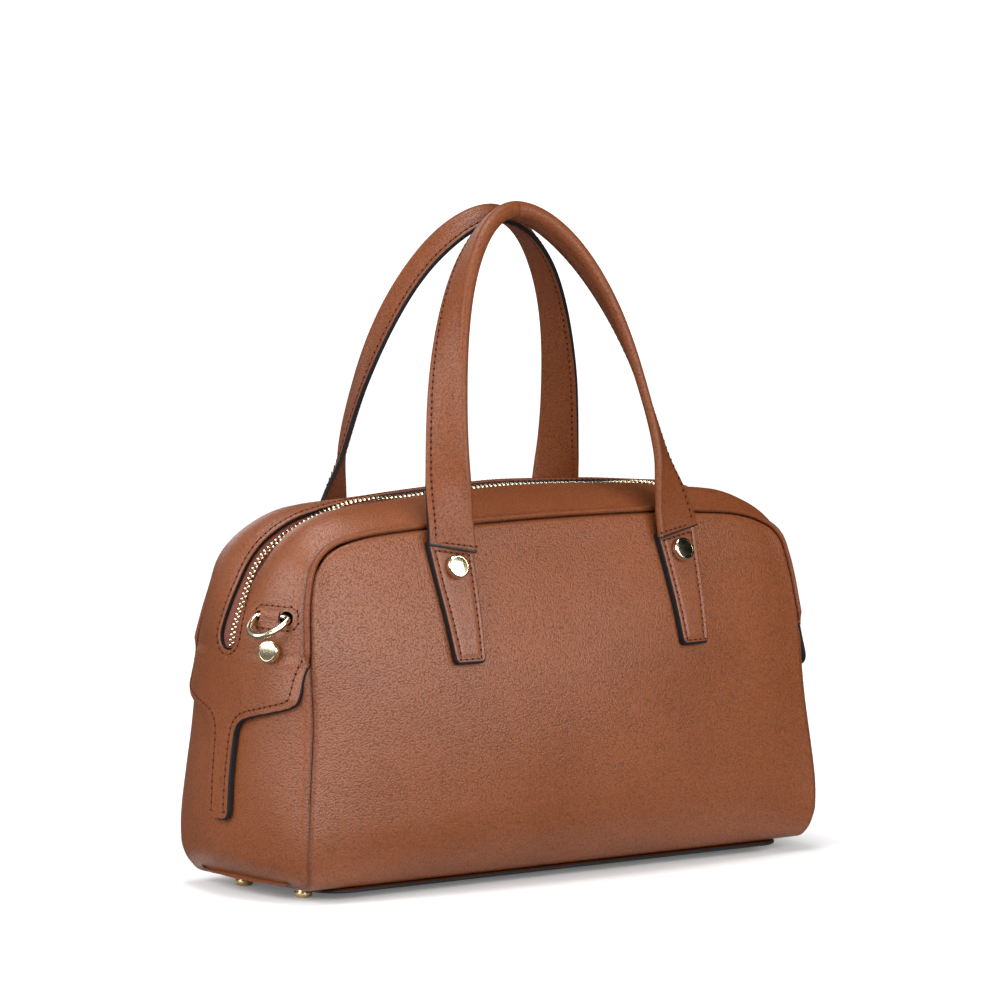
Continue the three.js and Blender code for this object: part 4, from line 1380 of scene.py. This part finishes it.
def make_base():
    bm = make_block((2 * BASE_HALF[0], 2 * BASE_HALF[1], BASE_THICK))
    bmesh.ops.translate(bm, vec=(0.0, 0.0, BASE_BOTTOM + BASE_THICK / 2), verts=bm.verts[:])
    bevel(bm, [e for e in bm.edges if abs(e.verts[0].co.z - e.verts[1].co.z) > 1.0], BASE_CORNER, 10)
    bm.normal_update()
    bevel(bm, list({e for f in bm.faces if abs(f.normal.z) > 0.9 for e in f.edges}), BASE_ROUNDING, 3)
    bm.normal_update()
    for face in bm.faces:
        painted = abs(face.normal.y) > 0.2 and abs(face.calc_center_median().x) < BASE_PAINT_END
        face.material_index = 1 if painted else 0
    # Painted shadow on the base's ends, where they lie in the shade under the sides
    paint_shade_near(bm, [v.co.copy() for v in bm.verts if abs(v.co.x) > BASE_SHADE_FROM], 2.0, 0.9)
    return bm


make_piece("base_leather", make_base(), [gusset_leather, black_edge], ["base_plate"])

# Stitches
STITCH_PITCH = 3.15
RING_STITCH_PITCH = 3.2
STITCH_SIZE = (2.3, 0.62, 0.496)
STITCH_LIFT = 0.0744
STITCH_GAP = 6.0
HOLE_SIZE = (1.5, 1.0, 0.55)


def make_stitch():
    """One stitch along its own X, a short thread that dips at both ends, and after it a dark blob, painted
    shade for the needle hole.
    """
    bm = bmesh.new()
    bmesh.ops.create_uvsphere(bm, u_segments=6, v_segments=6, radius=0.5)
    bmesh.ops.rotate(bm, cent=(0, 0, 0), matrix=Matrix.Rotation(math.pi / 2, 3, "Y"), verts=bm.verts[:])
    for v in bm.verts:
        v.co.x = math.copysign(abs(v.co.x * 2.0) ** 0.75 / 2.0, v.co.x)
    bmesh.ops.scale(bm, vec=STITCH_SIZE, verts=bm.verts[:])
    hole = bmesh.ops.create_uvsphere(bm, u_segments=6, v_segments=4, radius=0.5)["verts"]
    bmesh.ops.scale(bm, vec=HOLE_SIZE, verts=hole)
    bmesh.ops.translate(bm, vec=(STITCH_PITCH / 2, 0.0, 0.0), verts=hole)
    # The hole blob takes the near-black painted shade
    for face in {f for v in hole for f in v.link_faces}:
        face.material_index = 1
    return bm


def stitch_places(spots, pitch=STITCH_PITCH):
    """Matrices of stitches along a run of (point, normal) spots. The run starts again after a gap."""
    matrices, walked, wanted = [], 0.0, pitch / 2
    for (a, normal_a), (b, normal_b) in zip(spots, spots[1:]):
        length = (b - a).length
        if length > STITCH_GAP:
            wanted = walked + pitch / 2
            continue
        while length > 0 and walked + length >= wanted:
            share = (wanted - walked) / length
            normal = normal_a.lerp(normal_b, share).normalized()
            across = normal.cross((b - a).normalized()).normalized()
            spot = a.lerp(b, share) + normal * STITCH_LIFT
            matrices.append(frame_matrix(spot, across.cross(normal), across, normal))
            wanted += pitch
        walked += length
    return matrices


def sew(name, matrices):
    make_piece(name, add_copies(make_stitch(), matrices), [thread, needle_hole_shade], sharp=80.0)


def both_ends(matrices, sign_y):
    """The same stitches to the right and left, on the front or mirrored to the back."""
    made = []
    for sign_x in (1, -1):
        flip = Matrix.Diagonal((sign_x, sign_y, 1.0, 1.0))
        back = Matrix.Diagonal((1.0, sign_x * sign_y, 1.0, 1.0))
        made += [flip @ m @ back for m in matrices]
    return made


def all_sides(matrices):
    return both_ends(matrices, 1) + both_ends(matrices, -1)


def offset_inside(line, distance):
    """A closed or open line in a flat view, moved to its left by a distance, with its knots left out."""
    tree = point_tree([Vector((a, b, 0.0)) for a, b in line])
    moved = []
    for i in range(1, len(line) - 1):
        run = Vector((line[i + 1][0] - line[i - 1][0], line[i + 1][1] - line[i - 1][1]))
        if run.length < 1e-6:
            continue
        run.normalize()
        spot = Vector((line[i][0] - run.y * distance, line[i][1] + run.x * distance, 0.0))
        if tree.find(spot)[2] > distance - 0.12:
            moved.append((spot.x, spot.y))
    return moved


FLAP_STITCH = 3.4
SLOT_STITCH = 1.8
SLOT_STITCH_ROW = 10.75
END_START = 220.0
STEEPEST = 0.45
flap_line = [(0.0, FLAP_BOTTOM)] + [(flap_half_width(z), z) for z in steps(FLAP_BOTTOM, FLAP_TOP, 900)]


def on_end(y, z):
    hit = facing_hit(gusset_hits, Vector((END_START, y, z)), Vector((-1.0, 0.0, 0.0)))
    return hit if hit and abs(hit[1].x) >= STEEPEST else None


flap_run = [s for s in (on_end(y, z) for y, z in offset_inside(flap_line, FLAP_STITCH) if y > 0) if s]
slot_radius = SLOT_END + SLOT_STITCH
slot_centre = band_start_crown.z + SLOT_END
slot_run = [on_end(slot_radius * math.sin(angle), slot_centre - slot_radius * math.cos(angle))
            for angle in steps(0.0, math.pi / 2, 40)]
for row in steps(SLOT_STITCH_ROW, TOP_ROW, 260):
    spot, normal, _, _ = band_frame(row, slot_half_width(row) + SLOT_STITCH)
    if spot.z > slot_run[-1][0].z or spot.x < slot_run[-1][0].x - 0.5:
        slot_run.append((spot, normal))
sew("flap_stitches", all_sides(stitch_places(flap_run)))
sew("zip_stitches", all_sides(stitch_places(slot_run)))

# The stitched rounded rectangle round a ring's holes, along the bar and up
PATCH_MIDDLE = (1.6, -0.9)
PATCH_HALF = (11.4, 5.3)
PATCH_CORNER = 4.2
PATCH_START = 20.0


def ring_patch_run():
    flat_y, flat_z = (half - PATCH_CORNER for half in PATCH_HALF)
    line = []
    for start, side_y, side_z in ((0.0, 1, 1), (90.0, -1, 1), (180.0, -1, -1), (270.0, 1, -1)):
        for angle in map(math.radians, steps(start, start + 90.0, 8)):
            line.append(Vector((0.0, side_y * flat_y + PATCH_CORNER * math.cos(angle),
                                side_z * flat_z + PATCH_CORNER * math.sin(angle))))
    line.append(line[0])
    middle = Vector((PATCH_START, *PATCH_MIDDLE))
    starts = [ring_place @ (middle + a.lerp(b, share))
              for a, b in zip(line, line[1:]) for share in steps(0.0, 1.0, 8)[:-1]]
    return all_hits(gusset_hits, starts, -RING_OUT)


ring_matrices = stitch_places(ring_patch_run(), RING_STITCH_PITCH)
sew("ring_stitches", ring_matrices + [HALF_TURN @ m for m in ring_matrices])


def tab_run():
    line = tab_outline()
    line.append(line[1])
    starts = [Vector((x, FRONT_START, z)) for x, z in offset_inside(line, TAB_STITCH)]
    return all_hits(tab_hits, starts, TO_BACK)


sew("tab_stitches", all_sides(stitch_places(tab_run())))

# Places round the strap's skin and along its half
HANDLE_STITCH = 0.121
END_STITCH = 0.0062
END_STITCH_FROM = HANDLE_STITCH + 0.02
END_STITCH_TO = 0.38


def handle_run(u, style):
    """The stitch line beside the raw edge, on one face of the strap."""
    side = 1.0 if u < 0.5 else -1.0
    return [(strap_point(t, u, style), strap_frame(t, style)[2] * side) for t in steps(END_STITCH, 1.0, 200)]


handle_matrices = []
for _, sign_y, style in STRAPS:
    matrices = []
    for u in (HANDLE_STITCH, 1.0 - HANDLE_STITCH):
        matrices += stitch_places(handle_run(u, style))
    end_face = strap_frame(END_STITCH, style)[2]
    across_end = [strap_point(END_STITCH, u, style) for u in steps(END_STITCH_FROM, END_STITCH_TO, 40)]
    matrices += stitch_places([(spot, end_face) for spot in across_end])
    handle_matrices += both_ends(matrices, sign_y)
sew("handle_stitches", handle_matrices)

# Floor and light
WHITE = (1.0, 1.0, 1.0, 1.0)
FLOOR_SIZE = 60.0
EVEN_LIGHT = 0.42


def make_stage():
    """A pale floor that glows towards the distance, and that gloss sees as dark beside the bag."""
    material, tree, shader = new_material("pale_floor", 0.9)
    light_path = add_node(tree, "ShaderNodeLightPath").outputs
    place = object_place(tree)
    reach = add_node(tree, "ShaderNodeVectorMath", {0: place}, operation="LENGTH").outputs["Value"]
    split = add_node(tree, "ShaderNodeSeparateXYZ", {0: place}).outputs
    beside = remap(tree, math_node(tree, "ABSOLUTE", split["Y"]), 0.06, 0.075)
    beyond = remap(tree, math_node(tree, "ABSOLUTE", split["X"]), 0.15, 0.165)
    around = math_node(tree, "MAXIMUM", beside, beyond)
    unlit = math_node(tree, "MULTIPLY", light_path["Is Glossy Ray"], around)
    tone = mix_colour(tree, unlit, (0.72, 0.72, 0.72, 1.0), (0.05, 0.05, 0.05, 1.0))
    glow = remap(tree, reach, 0.3, 4.0, 0.12, 1.0)
    put_in(tree, shader.inputs["Base Color"], tone)
    put_in(tree, shader.inputs["Emission Color"], WHITE)
    put_in(tree, shader.inputs["Emission Strength"],
           math_node(tree, "MULTIPLY", glow, light_path["Is Camera Ray"]))
    bm = bmesh.new()
    bmesh.ops.create_grid(bm, x_segments=1, y_segments=1, size=FLOOR_SIZE)
    mesh = mesh_from("floor", bm)
    mesh.materials.append(material)
    new_object("floor", mesh)


def make_light(name, place, target, size, power):
    data = bpy.data.lights.new(name, "AREA")
    data.shape = "RECTANGLE"
    data.size, data.size_y = size
    data.energy = power
    light = new_object(name, data)
    light.location = place
    light.rotation_euler = (Vector(target) - Vector(place)).to_track_quat("-Z", "Y").to_euler()


def make_world():
    """Soft white surroundings, which a glossy surface sees as bright on the left and dark on the right."""
    world = bpy.data.worlds.new("studio")
    world.use_nodes = True
    tree = world.node_tree
    way = add_node(tree, "ShaderNodeTexCoord").outputs["Generated"]
    split = add_node(tree, "ShaderNodeSeparateXYZ", {0: way}).outputs
    mirrored_light = math_node(tree, "MULTIPLY", remap(tree, split["X"], -1.0, 0.4, 0.7, 0.0),
                               remap(tree, split["Z"], -0.05, 0.35, 0.1, 1.0))
    glossy = add_node(tree, "ShaderNodeLightPath").outputs["Is Glossy Ray"]
    even = math_node(tree, "MULTIPLY", math_node(tree, "SUBTRACT", 1.0, glossy), EVEN_LIGHT)
    shown = math_node(tree, "ADD", even, math_node(tree, "MULTIPLY", mirrored_light, glossy))
    background = tree.nodes["Background"].inputs
    put_in(tree, background["Strength"], shown)
    put_in(tree, background["Color"], WHITE)
    bpy.context.scene.world = world


make_stage()
make_world()
make_light("front", (0.05, -2.0, 0.8), (0.0, 0.0, 0.12), (2.4, 1.0), 58.0)
make_light("left", (-1.6, 0.0, 0.9), (0.0, 0.0, 0.14), (1.3, 1.2), 32.0)
make_light("top", (-0.1, 0.0, 1.7), (0.0, 0.0, 0.15), (0.8, 0.6), 20.0)
make_light("back", (0.5, 2.2, 1.0), (0.0, 0.0, 0.14), (1.2, 1.0), 8.0)
bpy.context.scene.view_settings.view_transform = "Standard"
bpy.context.scene.view_settings.look = "None"
